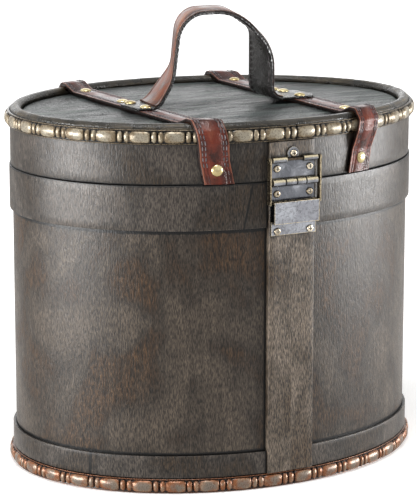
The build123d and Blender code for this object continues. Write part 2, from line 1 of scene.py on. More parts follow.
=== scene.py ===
"""Visual model of an oval bentwood collar box with a leather-topped lid.

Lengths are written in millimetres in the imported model's own frame and turned to metres when a
mesh is made. +Z is up, +X runs along the long axis of the oval and -Y is the hinge side.
"""
import logging
import math
from dataclasses import dataclass, field, replace
from enum import Enum
from typing import Iterable, Sequence

import bmesh
import bpy
from mathutils import Matrix, Vector, noise


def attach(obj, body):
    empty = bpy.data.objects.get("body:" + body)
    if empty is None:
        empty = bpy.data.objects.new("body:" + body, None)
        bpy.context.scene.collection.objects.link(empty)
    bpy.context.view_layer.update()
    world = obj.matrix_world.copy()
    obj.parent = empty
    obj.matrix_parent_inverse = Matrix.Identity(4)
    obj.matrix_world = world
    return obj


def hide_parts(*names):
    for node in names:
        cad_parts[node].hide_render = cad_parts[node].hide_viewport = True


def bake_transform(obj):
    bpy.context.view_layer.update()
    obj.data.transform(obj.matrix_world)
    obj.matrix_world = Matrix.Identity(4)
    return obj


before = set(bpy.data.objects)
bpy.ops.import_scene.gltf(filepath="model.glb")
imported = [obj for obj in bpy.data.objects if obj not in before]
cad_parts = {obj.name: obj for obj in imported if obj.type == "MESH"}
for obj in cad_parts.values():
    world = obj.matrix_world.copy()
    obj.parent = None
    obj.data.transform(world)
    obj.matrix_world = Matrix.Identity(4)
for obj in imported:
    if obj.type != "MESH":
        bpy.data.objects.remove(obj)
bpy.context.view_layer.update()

log = logging.getLogger("collar_box")

MM = 0.001
Point2 = tuple[float, float]
Row = list[Vector]
Socket = bpy.types.NodeSocket
# One row per pattern: size of its spots along three axes, and number of finer layers
Sizes = tuple[tuple[float, float, float, float], ...]


class Body(str, Enum):
    """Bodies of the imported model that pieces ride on."""

    ROOT = "root"
    LID = "lid"
    HANDLE = "handle"


class Skin(Enum):
    """Where a finish takes its millimetre coordinates from."""

    UNROLLED = "along and across the piece, from its own texture coordinates"
    PLACE = "the place in the object, for pieces that come straight from the solids"


def linear(colour: str) -> tuple[float, float, float, float]:
    """Turn an sRGB hex colour into linear red, green, blue and alpha.

    Args:
        colour: Colour written as #rrggbb.

    Returns:
        Linear components from 0 to 1, with an alpha of 1.
    """
    parts = [int(colour[start : start + 2], 16) / 255 for start in (1, 3, 5)]
    bent = [p / 12.92 if p <= 0.04045 else ((p + 0.055) / 1.055) ** 2.4 for p in parts]
    return bent[0], bent[1], bent[2], 1.0


@dataclass
class Graph:
    """Node tree of one material or world."""

    tree: bpy.types.NodeTree

    def add(self, kind: str, inputs: dict, out: int | str = 0, **settings: object) -> Socket | None:
        """Add one node with its settings and links.

        Args:
            kind: Blender's name of the node type, without its first word.
            inputs: Socket name or index to a value, or to the output socket that feeds it.
            out: Name or index of the output that is given back.
            **settings: Attributes of the node itself.

        Returns:
            The output socket, or nothing from a node that has none.
        """
        made = self.tree.nodes.new(f"ShaderNode{kind}")
        for key, value in settings.items():
            setattr(made, key, value)
        for key, value in inputs.items():
            if isinstance(value, Socket):
                self.tree.links.new(value, made.inputs[key])
            else:
                made.inputs[key].default_value = value
        return made.outputs[out] if made.outputs else None


# Sockets that go by their place: of the math nodes, of the range map and of the colour mix
FIRST, SECOND, THIRD = 0, 1, 2
VALUE, LOW, HIGH, TO_LOW, TO_HIGH = 0, 1, 2, 3, 4
SHARE, UNDER, OVER = 0, 6, 7
# Settings that many nodes share
SOFT_STEP = {"interpolation_type": "SMOOTHSTEP"}
BLEND = {"data_type": "RGBA", "out": 2}
# Each pattern of a finish is moved by this much from the last, so that no two line up
PATTERN_SHIFT = (11.3, 5.7, 3.1)
PATTERN_WARP = 0.5
# What is left of the colour in a seam line of painted shade, in the painted shadow along the batten's
# left edge and in a real crack
JOINT_SHADE = 0.05


@dataclass(frozen=True)
class Finish:
    """What all finishes share: a name, and a way to start and close the node tree."""

    name: str

    def start(
        self, skin: Skin, sizes: Sizes
    ) -> tuple[bpy.types.Material, Graph, Socket, list[Socket]]:
        """Make an empty node material with its coordinates and its noise patterns.

        Args:
            skin: Which coordinates the piece has.
            sizes: Spot size along each axis and number of finer layers, one row per pattern.

        Returns:
            The material, its graph, the coordinates in millimetres, and one socket per
            pattern with values of about 0.3 to 0.7.
        """
        material = bpy.data.materials.new(self.name)
        material.use_nodes = True
        material.node_tree.nodes.clear()
        graph = Graph(material.node_tree)
        if skin is Skin.UNROLLED:
            coords = graph.add("UVMap", {}, uv_map="skin")
        else:
            place = graph.add("TexCoord", {}, out="Object")
            coords = graph.add("VectorMath", {FIRST: place, "Scale": 1 / MM}, operation="SCALE")
        patterns = []
        for number, (*spot, layers) in enumerate(sizes):
            shift = [step * number for step in PATTERN_SHIFT]
            scale = [1 / length for length in spot]
            mapped = graph.add("Mapping", {"Vector": coords, "Location": shift, "Scale": scale})
            spots = {"Vector": mapped, "Scale": 1.0, "Detail": layers, "Distortion": PATTERN_WARP}
            patterns.append(graph.add("TexNoise", spots))
        return material, graph, coords, patterns

    def flatness(self, graph: Graph, radius: float, samples: int) -> Socket:
        """Tell edges from flats.

        Args:
            graph: Graph of the finish.
            radius: How far an edge reaches, in millimetres.
            samples: Number of rays that look for the edge.

        Returns:
            A socket that is 1 on a flat and less near an edge.
        """
        rounded = graph.add("Bevel", {"Radius": radius * MM}, samples=samples)
        flat = graph.add("NewGeometry", {}, out="Normal")
        both = {FIRST: rounded, SECOND: flat}
        return graph.add("VectorMath", both, out="Value", operation="DOT_PRODUCT")

    def line(self, graph: Graph, place: Socket, middle: float) -> Socket:
        """Give the distance from a line.

        Args:
            graph: Graph of the finish.
            place: Socket of the coordinate across the line.
            middle: Where the line lies on that coordinate.

        Returns:
            The distance, on both sides above 0.
        """
        gap = graph.add("Math", {FIRST: place, SECOND: middle}, operation="SUBTRACT")
        return graph.add("Math", {FIRST: gap}, operation="ABSOLUTE")

    def close(
        self,
        graph: Graph,
        colour: Socket,
        gloss: Socket,
        height: Socket,
        relief: float,
        fixed: dict[str, object],
    ) -> None:
        """Join a colour, a roughness and a height to one shader and the output.

        Args:
            graph: Graph of the finish.
            colour: Socket of the base colour.
            gloss: Socket of the roughness.
            height: Socket of the bump height, from 0 to 1.
            relief: Depth of the bump in millimetres.
            fixed: Shader sockets that are set here by name.
        """
        bump = graph.add("Bump", {"Height": height, "Strength": 1.0, "Distance": relief * MM})
        sockets = {"Base Color": colour, "Roughness": gloss, "Normal": bump, **fixed}
        graph.add("OutputMaterial", {"Surface": graph.add("BsdfPrincipled", sockets)})


@dataclass(frozen=True)
class StainedWood(Finish):
    """Birch plywood bent round a form, stained dark and rubbed back.

    The grain stands upright. The stain pools in the fine pores, and rubbing leaves soft grey
    clouds and a few warm scratches, under a thin satin lacquer. Painted shade darkens its
    corners and some lines along the bands and the batten.
    """

    dark: str
    middle: str
    pale: str
    warm: str
    chafe: str = "#8d8377"
    # heights of the seam lines of painted shade where a band's edge meets this piece
    seam_shadows: tuple[float, ...] = ()
    # how ragged a seam is, and how far out its dark ends and its shade ends
    seam_fray: float = 2.4
    seam_reach: Point2 = (1.9, 2.8)
    # cracks on the hinge side, and painted shadow lines drawn like them: x and z of the upper end, then
    # of the lower end
    cracks: tuple[tuple[float, float, float, float], ...] = ()
    crack_reach: Point2 = (0.45, 1.0)
    # how far in the corners are rubbed, and how far painted shade spreads from a corner or joint
    edge: float = 0.8
    darkening: float = 3.0
    warm_share: float = 0.5
    relief: float = 0.16
    gloss_low: float = 0.3
    gloss_high: float = 0.42
    ior: float = 1.38
    skin: Skin = Skin.UNROLLED
    # pores, streaks, clouds, flecks: across, along, deep, layers. The real pores are 0.2 mm
    # wide and are drawn coarser so that they show.
    sizes: Sizes = (
        (0.7, 3.6, 0.7, 3.0),
        (3.4, 46.0, 3.4, 3.0),
        (44.0, 52.0, 44.0, 4.0),
        (1.0, 6.5, 1.0, 3.0),
    )

    def stained(self, graph: Graph, patterns: Sequence[Socket], scratches: Socket) -> Socket:
        """Mix the pooled stain, the rubbed clouds and the warm scratches.

        Args:
            graph: Graph of the finish.
            patterns: Pores, streaks, clouds and flecks.
            scratches: Where the scratches are.

        Returns:
            The colour.
        """
        pores, streaks, clouds, _ = patterns
        pooled = graph.add("MapRange", {VALUE: pores, LOW: 0.36, HIGH: 0.62}, **SOFT_STEP)
        stain = {SHARE: pooled, UNDER: linear(self.dark), OVER: linear(self.middle)}
        colour = graph.add("Mix", stain, **BLEND)
        streaky = {VALUE: streaks, LOW: 0.42, HIGH: 0.72, TO_HIGH: 0.32}
        cloudy = {VALUE: clouds, LOW: 0.6, HIGH: 0.38, TO_HIGH: 0.5}
        rubbed = [graph.add("MapRange", spread, **SOFT_STEP) for spread in (streaky, cloudy)]
        rubbed = graph.add("Math", dict(enumerate(rubbed)), operation="ADD", use_clamp=True)
        colour = graph.add("Mix", {SHARE: rubbed, UNDER: colour, OVER: linear(self.pale)}, **BLEND)
        brown = {VALUE: clouds, LOW: 0.48, HIGH: 0.64, TO_HIGH: self.warm_share}
        warmed = graph.add("MapRange", brown, **SOFT_STEP)
        warmed = graph.add("Math", {FIRST: warmed, SECOND: scratches}, operation="MULTIPLY")
        return graph.add("Mix", {SHARE: warmed, UNDER: colour, OVER: linear(self.warm)}, **BLEND)

    def chafed(self, graph: Graph, colour: Socket, scratches: Socket) -> Socket:
        """Rub the corners pale.

        Args:
            graph: Graph of the finish.
            colour: The colour so far.
            scratches: Where the scratches are.

        Returns:
            The colour with its pale corners.
        """
        flat = self.flatness(graph, self.edge, 4)
        worn = graph.add("MapRange", {VALUE: flat, LOW: 0.98, HIGH: 0.86, TO_HIGH: 0.75}, **SOFT_STEP)
        worn = graph.add("Math", {FIRST: worn, SECOND: scratches}, operation="MULTIPLY")
        return graph.add("Mix", {SHARE: worn, UNDER: colour, OVER: linear(self.chafe)}, **BLEND)

    def shades(
        self, graph: Graph, coords: Socket, pores: Socket, clouds: Socket, flecks: Socket
    ) -> list[Socket]:
        """Give what darkens the wood: its pores, painted shade in corners, clouds, seam lines of painted
        shade, cracks and painted shadow lines.

        Args:
            graph: Graph of the finish.
            coords: Coordinates along and up the piece.
            pores: Pattern of the pores.
            clouds: Pattern of the clouds.
            flecks: Pattern of the flecks.

        Returns:
            Sockets that the colour is multiplied by.
        """
        grain = {VALUE: pores, LOW: 0.32, HIGH: 0.68, TO_LOW: 0.3, TO_HIGH: 1.5}
        # painted shade: ambient occlusion darkens the corners and the foot of each step
        clear = graph.add("AmbientOcclusion", {"Distance": self.darkening * MM}, out="AO", samples=6)
        darkened = {VALUE: clear, LOW: 0.6, HIGH: 0.96, TO_LOW: 0.04}
        drift = {VALUE: clouds, LOW: 0.36, HIGH: 0.64, TO_LOW: 1.16, TO_HIGH: 0.84}
        shades = [graph.add("MapRange", spread, **SOFT_STEP) for spread in (grain, darkened, drift)]
        # seam lines of painted shade where a band's edge steps over this piece
        height = graph.add("SeparateXYZ", {"Vector": coords}, out="Y")
        for seam in self.seam_shadows:
            gap = self.line(graph, height, seam)
            ragged = {FIRST: flecks, SECOND: self.seam_fray, THIRD: gap}
            gap = graph.add("Math", ragged, operation="MULTIPLY_ADD")
            dark, clean = self.seam_reach
            spread = {VALUE: gap, LOW: dark, HIGH: clean, TO_LOW: JOINT_SHADE}
            shades.append(graph.add("MapRange", spread, **SOFT_STEP))
        return shades + [self.crack(graph, *ends) for ends in self.cracks]

    def crack(self, graph: Graph, x_top: float, z_top: float, x_low: float, z_low: float) -> Socket:
        """Draw one straight dark line on the hinge side: a crack, or a painted shadow line.

        Args:
            graph: Graph of the finish.
            x_top: X of its upper end.
            z_top: Z of its upper end.
            x_low: X of its lower end.
            z_low: Z of its lower end.

        Returns:
            What the colour is multiplied by.
        """
        place = graph.add("TexCoord", {}, out="Object")
        slant = (x_top - x_low) / (z_top - z_low)
        across = {FIRST: place, SECOND: (1 / MM, 0, -slant / MM)}
        across = graph.add("VectorMath", across, out="Value", operation="DOT_PRODUCT")
        gap = self.line(graph, across, x_top - slant * z_top)
        dark, clean = self.crack_reach
        spread = {VALUE: gap, LOW: dark, HIGH: clean, TO_LOW: JOINT_SHADE}
        shade = graph.add("MapRange", spread, **SOFT_STEP)
        side = graph.add("SeparateXYZ", {"Vector": place}, out="Y")
        back = graph.add("Math", {FIRST: side, SECOND: 0.0}, operation="GREATER_THAN")
        return graph.add("Math", {FIRST: shade, SECOND: back}, operation="MAXIMUM")

    def build(self) -> bpy.types.Material:
        """Make the material.

        Returns:
            The material.
        """
        material, graph, coords, patterns = self.start(self.skin, self.sizes)
        pores, _, clouds, flecks = patterns
        fleck = {VALUE: flecks, LOW: 0.42, HIGH: 0.6, TO_LOW: 0.2}
        scratches = graph.add("MapRange", fleck, **SOFT_STEP)
        colour = self.stained(graph, patterns, scratches)
        colour = self.chafed(graph, colour, scratches)
        for shade in self.shades(graph, coords, pores, clouds, flecks):
            colour = graph.add("VectorMath", {FIRST: colour, "Scale": shade}, operation="SCALE")
        satin = {VALUE: flecks, LOW: 0.36, HIGH: 0.66, TO_LOW: self.gloss_low, TO_HIGH: self.gloss_high}
        gloss = graph.add("MapRange", satin, **SOFT_STEP)
        height = graph.add("Math", {FIRST: pores, SECOND: flecks}, operation="ADD")
        self.close(graph, colour, gloss, height, self.relief, {"IOR": self.ior})
        return material


@dataclass(frozen=True)
class PaintedMoulding(Finish):
    """Pressed composition moulding, painted and wiped back to look antique.

    The hollows stay dark. The coat shows on the rings and round the beads, with patches of painted
    highlight on the rings. The crowns of the beads are rubbed to the filler, and their pale grey is
    partly a painted highlight.
    """

    hollow: str
    coat: str
    # crowns rubbed to the filler, partly a painted highlight
    scuffed_highlight: str
    # painted highlight on the rings
    lit: str
    relief: float = 0.12
    # plain filler shines a little under its metal paint
    metal: float = 0.35
    # patches and specks
    sizes: Sizes = (
        (7.0, 7.0, 7.0, 3.0),
        (1.3, 1.3, 1.3, 3.0),
    )

    def build(self) -> bpy.types.Material:
        """Make the material.

        Returns:
            The material.
        """
        material, graph, _, (patches, specks) = self.start(Skin.PLACE, self.sizes)
        raised = graph.add("Attribute", {}, out="Fac", attribute_name="relief")
        drift = {VALUE: patches, LOW: 0.3, HIGH: 0.7, TO_LOW: -0.2, TO_HIGH: 0.2}
        scatter = {VALUE: specks, LOW: 0.3, HIGH: 0.7, TO_LOW: -0.07, TO_HIGH: 0.07}
        drift, scatter = (graph.add("MapRange", spread, **SOFT_STEP) for spread in (drift, scatter))
        reach = graph.add("Math", {FIRST: raised, SECOND: scatter}, operation="ADD")
        crown = graph.add("Math", {FIRST: reach, SECOND: drift}, operation="ADD")
        coated = graph.add("MapRange", {VALUE: reach, LOW: 0.28, HIGH: 0.62}, **SOFT_STEP)
        paint = {SHARE: coated, UNDER: linear(self.hollow), OVER: linear(self.coat)}
        colour = graph.add("Mix", paint, **BLEND)
        # painted highlight in patches on the rings
        ring = graph.add("MapRange", {VALUE: reach, LOW: 0.52, HIGH: 0.74}, **SOFT_STEP)
        lit = graph.add("MapRange", {VALUE: patches, LOW: 0.42, HIGH: 0.62, TO_HIGH: 0.85}, **SOFT_STEP)
        lit = graph.add("Math", {FIRST: ring, SECOND: lit}, operation="MULTIPLY")
        colour = graph.add("Mix", {SHARE: lit, UNDER: colour, OVER: linear(self.lit)}, **BLEND)
        # crowns rubbed bare, their pale grey partly a painted highlight
        bare = graph.add("MapRange", {VALUE: crown, LOW: 0.5, HIGH: 1.05, TO_HIGH: 0.92}, **SOFT_STEP)
        colour = graph.add("Mix", {SHARE: bare, UNDER: colour, OVER: linear(self.scuffed_highlight)}, **BLEND)
        satin = {VALUE: specks, LOW: 0.35, HIGH: 0.65, TO_LOW: 0.22, TO_HIGH: 0.38}
        gloss = graph.add("MapRange", satin, **SOFT_STEP)
        self.close(graph, colour, gloss, specks, self.relief, {"Metallic": self.metal})
        return material


@dataclass(frozen=True)
class Leather(Finish):
    """Bonded cow leather, dyed, waxed and worn.

    A fine pebbled grain with creases, rubbed paler along the bevelled edges and dark on the
    cut edge.
    """

    dark: str
    middle: str
    worn: str
    edge: str
    # half the strip's width and its thickness, for a strip with cut edges
    half_width: float = 0.0
    thickness: float = 0.0
    wear: float = 0.7
    edge_wear: float = 0.65
    # how far in from the edge the rubbing starts and is full, and how ragged it is
    rub_reach: Point2 = (1.3, 0.4)
    rub_fray: float = 0.4
    # how far past the edge the cut face's dye is full
    cut_blend: float = 0.5
    grain: float = 1.2
    crease_depth: float = 2.6
    ior: float = 1.45
    relief: float = 0.2
    gloss_low: float = 0.3
    gloss_high: float = 0.5
    skin: Skin = Skin.UNROLLED
    # creases, blotches: along, across, deep, layers
    sizes: Sizes = (
        (26.0, 6.0, 6.0, 4.0),
        (14.0, 11.0, 14.0, 4.0),
    )

    def edged(self, graph: Graph, colour: Socket, coords: Socket, blotches: Socket) -> Socket:
        """Rub the edges of a strip pale and dye its cut faces dark.

        Args:
            graph: Graph of the finish.
            colour: The colour so far.
            coords: Coordinates along and across the strip.
            blotches: Pattern of the blotches.

        Returns:
            The colour with its edges.
        """
        side = graph.add("SeparateXYZ", {"Vector": coords}, out="Y")
        side = graph.add("Math", {FIRST: side}, operation="ABSOLUTE")
        ragged = {VALUE: blotches, LOW: 0.3, HIGH: 0.7, TO_LOW: -self.rub_fray, TO_HIGH: self.rub_fray}
        fray = graph.add("MapRange", ragged, **SOFT_STEP)
        side = graph.add("Math", {FIRST: side, SECOND: fray}, operation="ADD")
        rim, under = self.half_width, self.half_width + self.thickness
        start, full = self.rub_reach
        rubbed = {VALUE: side, LOW: rim - start, HIGH: rim - full, TO_HIGH: self.edge_wear}
        cut = {VALUE: side, LOW: rim, HIGH: rim + self.cut_blend}
        above = {VALUE: side, LOW: under, HIGH: under + self.cut_blend, TO_LOW: 1.0, TO_HIGH: 0.0}
        rubbed, cut, above = (
            graph.add("MapRange", spread, **SOFT_STEP) for spread in (rubbed, cut, above)
        )
        colour = graph.add("Mix", {SHARE: rubbed, UNDER: colour, OVER: linear(self.worn)}, **BLEND)
        cut = graph.add("Math", {FIRST: cut, SECOND: above}, operation="MULTIPLY")
        return graph.add("Mix", {SHARE: cut, UNDER: colour, OVER: linear(self.edge)}, **BLEND)

    def build(self) -> bpy.types.Material:
        """Make the material.

        Returns:
            The material.
        """
        material, graph, coords, (creases, blotches) = self.start(self.skin, self.sizes)
        grains = graph.add("TexVoronoi", {"Vector": coords, "Scale": 1 / self.grain})
        dyed = graph.add("MapRange", {VALUE: blotches, LOW: 0.34, HIGH: 0.64}, **SOFT_STEP)
        dye = {SHARE: dyed, UNDER: linear(self.dark), OVER: linear(self.middle)}
        colour = graph.add("Mix", dye, **BLEND)
        creased = {VALUE: creases, LOW: 0.5, HIGH: 0.68, TO_HIGH: self.wear}
        high = graph.add("MapRange", creased, **SOFT_STEP)
        rubbed = graph.add("Math", {FIRST: high, SECOND: dyed}, operation="MULTIPLY")
        colour = graph.add("Mix", {SHARE: rubbed, UNDER: colour, OVER: linear(self.worn)}, **BLEND)
        if self.half_width:
            colour = self.edged(graph, colour, coords, blotches)
        wax = {VALUE: blotches, LOW: 0.34, HIGH: 0.66, TO_LOW: self.gloss_low, TO_HIGH: self.gloss_high}
        gloss = graph.add("MapRange", wax, **SOFT_STEP)
        folds = {FIRST: creases, SECOND: self.crease_depth, THIRD: grains}
        height = graph.add("Math", folds, operation="MULTIPLY_ADD")
        self.close(graph, colour, gloss, height, self.relief, {"IOR": self.ior})
        return material


@dataclass(frozen=True)
class WornMetal(Finish):
    """Plated steel with a dark patina that is rubbed to the bright coat on its edges.

    The flats stay cool with a soft cloudy sheen. Corners and pins are rubbed bright, the upper side
    of each barrel carries a painted highlight, and painted shade darkens recesses, places near other
    pieces and the joints between the knuckles.
    """

    patina: str
    sheen: str
    bright: str
    wear_width: float = 0.5
    gloss_low: float = 0.24
    gloss_high: float = 0.4
    relief: float = 0.015
    # how far painted shade reaches from recesses and nearby pieces, in millimetres
    shade_reach: float = 2.2
    # y, z and radius in millimetres of barrels along X whose upper side carries a painted highlight,
    # and how far past the radius the highlight is full and ends
    barrels: tuple[tuple[float, float, float], ...] = ()
    barrel_highlight_reach: Point2 = (0.2, 0.8)
    # x of the joints between the first barrel's knuckles, which carry painted shade: how far past the
    # radius the shade is full and ends, the same along X, and what is left of the colour there
    splits: tuple[float, ...] = ()
    split_out: Point2 = (0.1, 0.5)
    split_along: Point2 = (0.35, 0.8)
    split_shade: float = 0.04
    # cloudy patches and specks
    sizes: Sizes = (
        (16.0, 16.0, 16.0, 2.0),
        (1.2, 1.2, 1.2, 3.0),
    )

    def barrel_gap(self, graph: Graph, coords: Socket, y: float, z: float) -> Socket:
        """Give the distance from a barrel's middle line.

        Args:
            graph: Graph of the finish.
            coords: Coordinates in the object.
            y: Y of the line.
            z: Z of the line.

        Returns:
            The distance.
        """
        level = {FIRST: coords, SECOND: (0, 1, 1)}
        level = graph.add("VectorMath", level, operation="MULTIPLY")
        middle = {FIRST: level, SECOND: (0, y, z)}
        return graph.add("VectorMath", middle, out="Value", operation="DISTANCE")

    def rubbed(self, graph: Graph, coords: Socket, specks: Socket) -> Socket:
        """Find where the metal is bright: rubbed on its edges, with a painted highlight on the upper
        side of barrels.

        Args:
            graph: Graph of the finish.
            coords: Coordinates in the object.
            specks: Pattern of the specks.

        Returns:
            Share of the bright colour: worn coat on edges, painted highlight on barrels.
        """
        flat = self.flatness(graph, self.wear_width, 6)
        wear = graph.add("MapRange", {VALUE: flat, LOW: 0.985, HIGH: 0.9}, **SOFT_STEP)
        patchy = graph.add("MapRange", {VALUE: specks, LOW: 0.3, HIGH: 0.6, TO_LOW: 0.5}, **SOFT_STEP)
        wear = graph.add("Math", {FIRST: wear, SECOND: patchy}, operation="MULTIPLY")
        # painted highlight: the upper side of each barrel is brighter, the lower side darker
        normal = graph.add("NewGeometry", {}, out="Normal")
        upward = graph.add("SeparateXYZ", {"Vector": normal}, out="Z")
        upward = graph.add("MapRange", {VALUE: upward, LOW: -0.15, HIGH: 0.7}, **SOFT_STEP)
        full, ends = self.barrel_highlight_reach
        for y, z, radius in self.barrels:
            gap = self.barrel_gap(graph, coords, y, z)
            spread = {VALUE: gap, LOW: radius + ends, HIGH: radius + full}
            near = graph.add("MapRange", spread, **SOFT_STEP)
            near = graph.add("Math", {FIRST: near, SECOND: upward}, operation="MULTIPLY")
            wear = graph.add("Math", {FIRST: wear, SECOND: near}, operation="MAXIMUM")
        return wear

    def shades(self, graph: Graph, coords: Socket) -> list[Socket]:
        """Give what darkens the metal: painted shade near other pieces, in recesses and in the knuckle
        joints.

        Args:
            graph: Graph of the finish.
            coords: Coordinates in the object.

        Returns:
            Sockets that the colour is multiplied by.
        """
        # painted shade from ambient occlusion in recesses and near other pieces
        clear = graph.add("AmbientOcclusion", {"Distance": self.shade_reach * MM}, out="AO", samples=6)
        darkened = {VALUE: clear, LOW: 0.45, HIGH: 0.93, TO_LOW: 0.1}
        shades = [graph.add("MapRange", darkened, **SOFT_STEP)]
        across = graph.add("SeparateXYZ", {"Vector": coords}, out="X")
        # painted shade in the joints between the knuckles
        for x in self.splits:
            y, z, radius = self.barrels[0]
            full, ends = self.split_out
            off = self.barrel_gap(graph, coords, y, z)
            off = {VALUE: off, LOW: radius + full, HIGH: radius + ends}
            full, ends = self.split_along
            gap = {VALUE: self.line(graph, across, x), LOW: full, HIGH: ends}
            gap[TO_LOW] = self.split_shade
            darkening = [graph.add("MapRange", spread, **SOFT_STEP) for spread in (gap, off)]
            shades.append(graph.add("Math", dict(enumerate(darkening)), operation="MAXIMUM"))
        return shades

    def build(self) -> bpy.types.Material:
        """Make the material.

        Returns:
            The material.
        """
        material, graph, coords, (clouds, specks) = self.start(Skin.PLACE, self.sizes)
        clear = graph.add("MapRange", {VALUE: clouds, LOW: 0.36, HIGH: 0.64}, **SOFT_STEP)
        plate = {SHARE: clear, UNDER: linear(self.patina), OVER: linear(self.sheen)}
        colour = graph.add("Mix", plate, **BLEND)
        # bright colour: worn coat on the edges and a painted highlight on the barrels
        wear = self.rubbed(graph, coords, specks)
        colour = graph.add("Mix", {SHARE: wear, UNDER: colour, OVER: linear(self.bright)}, **BLEND)
        for shade in self.shades(graph, coords):
            colour = graph.add("VectorMath", {FIRST: colour, "Scale": shade}, operation="SCALE")
        polish = {VALUE: specks, LOW: 0.35, HIGH: 0.65, TO_LOW: self.gloss_low, TO_HIGH: self.gloss_high}
        gloss = graph.add("MapRange", polish, **SOFT_STEP)
        self.close(graph, colour, gloss, specks, self.relief, {"Metallic": 1.0})
        return material


@dataclass(frozen=True)
class Thread(Finish):
    """Waxed linen thread, twisted, dull and grey with soil."""

    colour: str
    soil: str
    relief: float = 0.08
    ior: float = 1.5
    # dirt and strands
    sizes: Sizes = (
        (4.0, 4.0, 4.0, 2.0),
        (0.5, 0.5, 0.5, 1.0),
    )

    def build(self) -> bpy.types.Material:
        """Make the material.

        Returns:
            The material.
        """
        material, graph, _, (darkening, strands) = self.start(Skin.PLACE, self.sizes)
        darkened = graph.add("MapRange", {VALUE: darkening, LOW: 0.4, HIGH: 0.62}, **SOFT_STEP)
        dye = {SHARE: darkened, UNDER: linear(self.colour), OVER: linear(self.soil)}
        colour = graph.add("Mix", dye, **BLEND)
        dull = {VALUE: strands, LOW: 0.3, HIGH: 0.7, TO_LOW: 0.55, TO_HIGH: 0.75}
        gloss = graph.add("MapRange", dull, **SOFT_STEP)
        self.close(graph, colour, gloss, strands, self.relief, {"IOR": self.ior})
        return material


@dataclass(frozen=True)
class FloorPaint(Finish):
    """Matt white floor that lifts towards white for the camera and keeps the shadow."""

    colour: str
    fleck: str
    lift: float
    # distances from the box between which the floor turns white
    near: float = 250.0
    far: float = 900.0
    relief: float = 0.05
    sizes: Sizes = ((70.0, 70.0, 70.0, 2.0),)

    def build(self) -> bpy.types.Material:
        """Make the material.

        Returns:
            The material.
        """
        material, graph, coords, (fleck,) = self.start(Skin.PLACE, self.sizes)
        spotted = graph.add("MapRange", {VALUE: fleck, LOW: 0.3, HIGH: 0.7}, **SOFT_STEP)
        paint = {SHARE: spotted, UNDER: linear(self.colour), OVER: linear(self.fleck)}
        colour = graph.add("Mix", paint, **BLEND)
        matt = {VALUE: fleck, LOW: 0.3, HIGH: 0.7, TO_LOW: 0.7, TO_HIGH: 0.8}
        gloss = graph.add("MapRange", matt, **SOFT_STEP)
        seen = graph.add("LightPath", {}, out="Is Camera Ray")
        away = graph.add("VectorMath", {FIRST: coords}, out="Value", operation="LENGTH")
        spread = {VALUE: away, LOW: self.near, HIGH: self.far, TO_LOW: self.lift}
        lift = graph.add("MapRange", spread, **SOFT_STEP)
        lift = graph.add("Math", {FIRST: seen, SECOND: lift}, operation="MULTIPLY")
        fixed = {"Emission Color": linear("#ffffff"), "Emission Strength": lift}
        self.close(graph, colour, gloss, fleck, self.relief, fixed)
        return material


# Painted shadow along the batten's left edge, where its side face and the joint lie in shade
LEFT_EDGE_SHADOW = (-23.1, 220.5, -23.1, 10.8)
# Birch plywood, stained walnut brown: grey-brown where it is rubbed, warm scratches, painted shade along
# the band edges and the batten's left edge
WOOD = StainedWood(
    "stained_birch_plywood", "#15100d", "#241e18", "#4a4138", "#583d22", warm_share=0.48,
    seam_shadows=(188.0, 187.1, 27.7), cracks=(LEFT_EDGE_SHADOW,),
)
# The bands are cut from a greyer sheet of the same plywood, with painted shade along the gap between lid
# and body
BAND_WOOD = StainedWood(
    "stained_birch_band", "#171412", "#2b2621", "#4a433d", "#463522", warm_share=0.45,
    seam_shadows=(220.7,),
)
# The middle band has a slanting scarf joint on the hinge side, the base band a short crack; both also
# carry the painted shadow along the batten's left edge
MIDDLE_WOOD = replace(
    BAND_WOOD, name="stained_birch_middle", cracks=((-33.8, 218.9, -39.5, 191.1), LEFT_EDGE_SHADOW)
)
BASE_WOOD = replace(
    BAND_WOOD, name="stained_birch_base", cracks=((-133.0, 26.0, -133.4, 12.0), LEFT_EDGE_SHADOW)
)
# The batten kept more of its brown stain
BATTEN_WOOD = StainedWood(
    "stained_birch_batten", "#1f1914", "#443a2f", "#6a5f54", "#5a432c", warm_share=0.35
)
# Plain inside faces and boards of the same plywood, seen when the lid is open
BOARD_WOOD = StainedWood(
    "stained_birch_board", "#2b2119", "#463829", "#66563f", "#6b4e33", warm_share=0.3,
    skin=Skin.PLACE,
)
# Antique gold paint over the moulded composition: rings with cream painted highlights, dull crowns that
# are partly a painted highlight, black hollows
GOLD_TRIM = PaintedMoulding("antique_gold_moulding", "#0c0906", "#6a5b45", "#837c6e", "#b8a98c")
# Rusty orange paint with scuffed grey-brown crowns that are partly a painted highlight, pale painted
# highlights on the rings and dark red hollows
RUST_TRIM = PaintedMoulding("rusty_moulding", "#150c07", "#774726", "#605850", "#ac8c6c")
# Greenish black cow leather on the lid, waxed
LID_LEATHER = Leather(
    "lid_cow_leather", "#191d1d", "#3b4443", "#7f8981", "#1a1a18", ior=1.4, relief=1.3,
    gloss_low=0.28, gloss_high=0.46, skin=Skin.PLACE,
    sizes=((80.0, 7.0, 7.0, 3.0), (46.0, 13.0, 14.0, 4.0)),
)
# The same leather stretched round the roll: darker, with brown rubbing
ROLL_LEATHER = Leather(
    "roll_cow_leather", "#17150f", "#2b251b", "#5f523c", "#1a1a18", relief=0.25,
    gloss_low=0.22, gloss_high=0.4, sizes=((60.0, 2.6, 6.0, 4.0), (14.0, 11.0, 14.0, 4.0)),
)
# Oxblood bridle leather of the straps, pale along the bevelled edges
STRAP_LEATHER = Leather(
    "strap_bridle_leather", "#2a0e08", "#5a1f0f", "#7c4a36", "#1c0e0a", half_width=10.0,
    thickness=2.8, wear=0.3, edge_wear=0.75, ior=1.38, gloss_low=0.24, gloss_high=0.4,
)
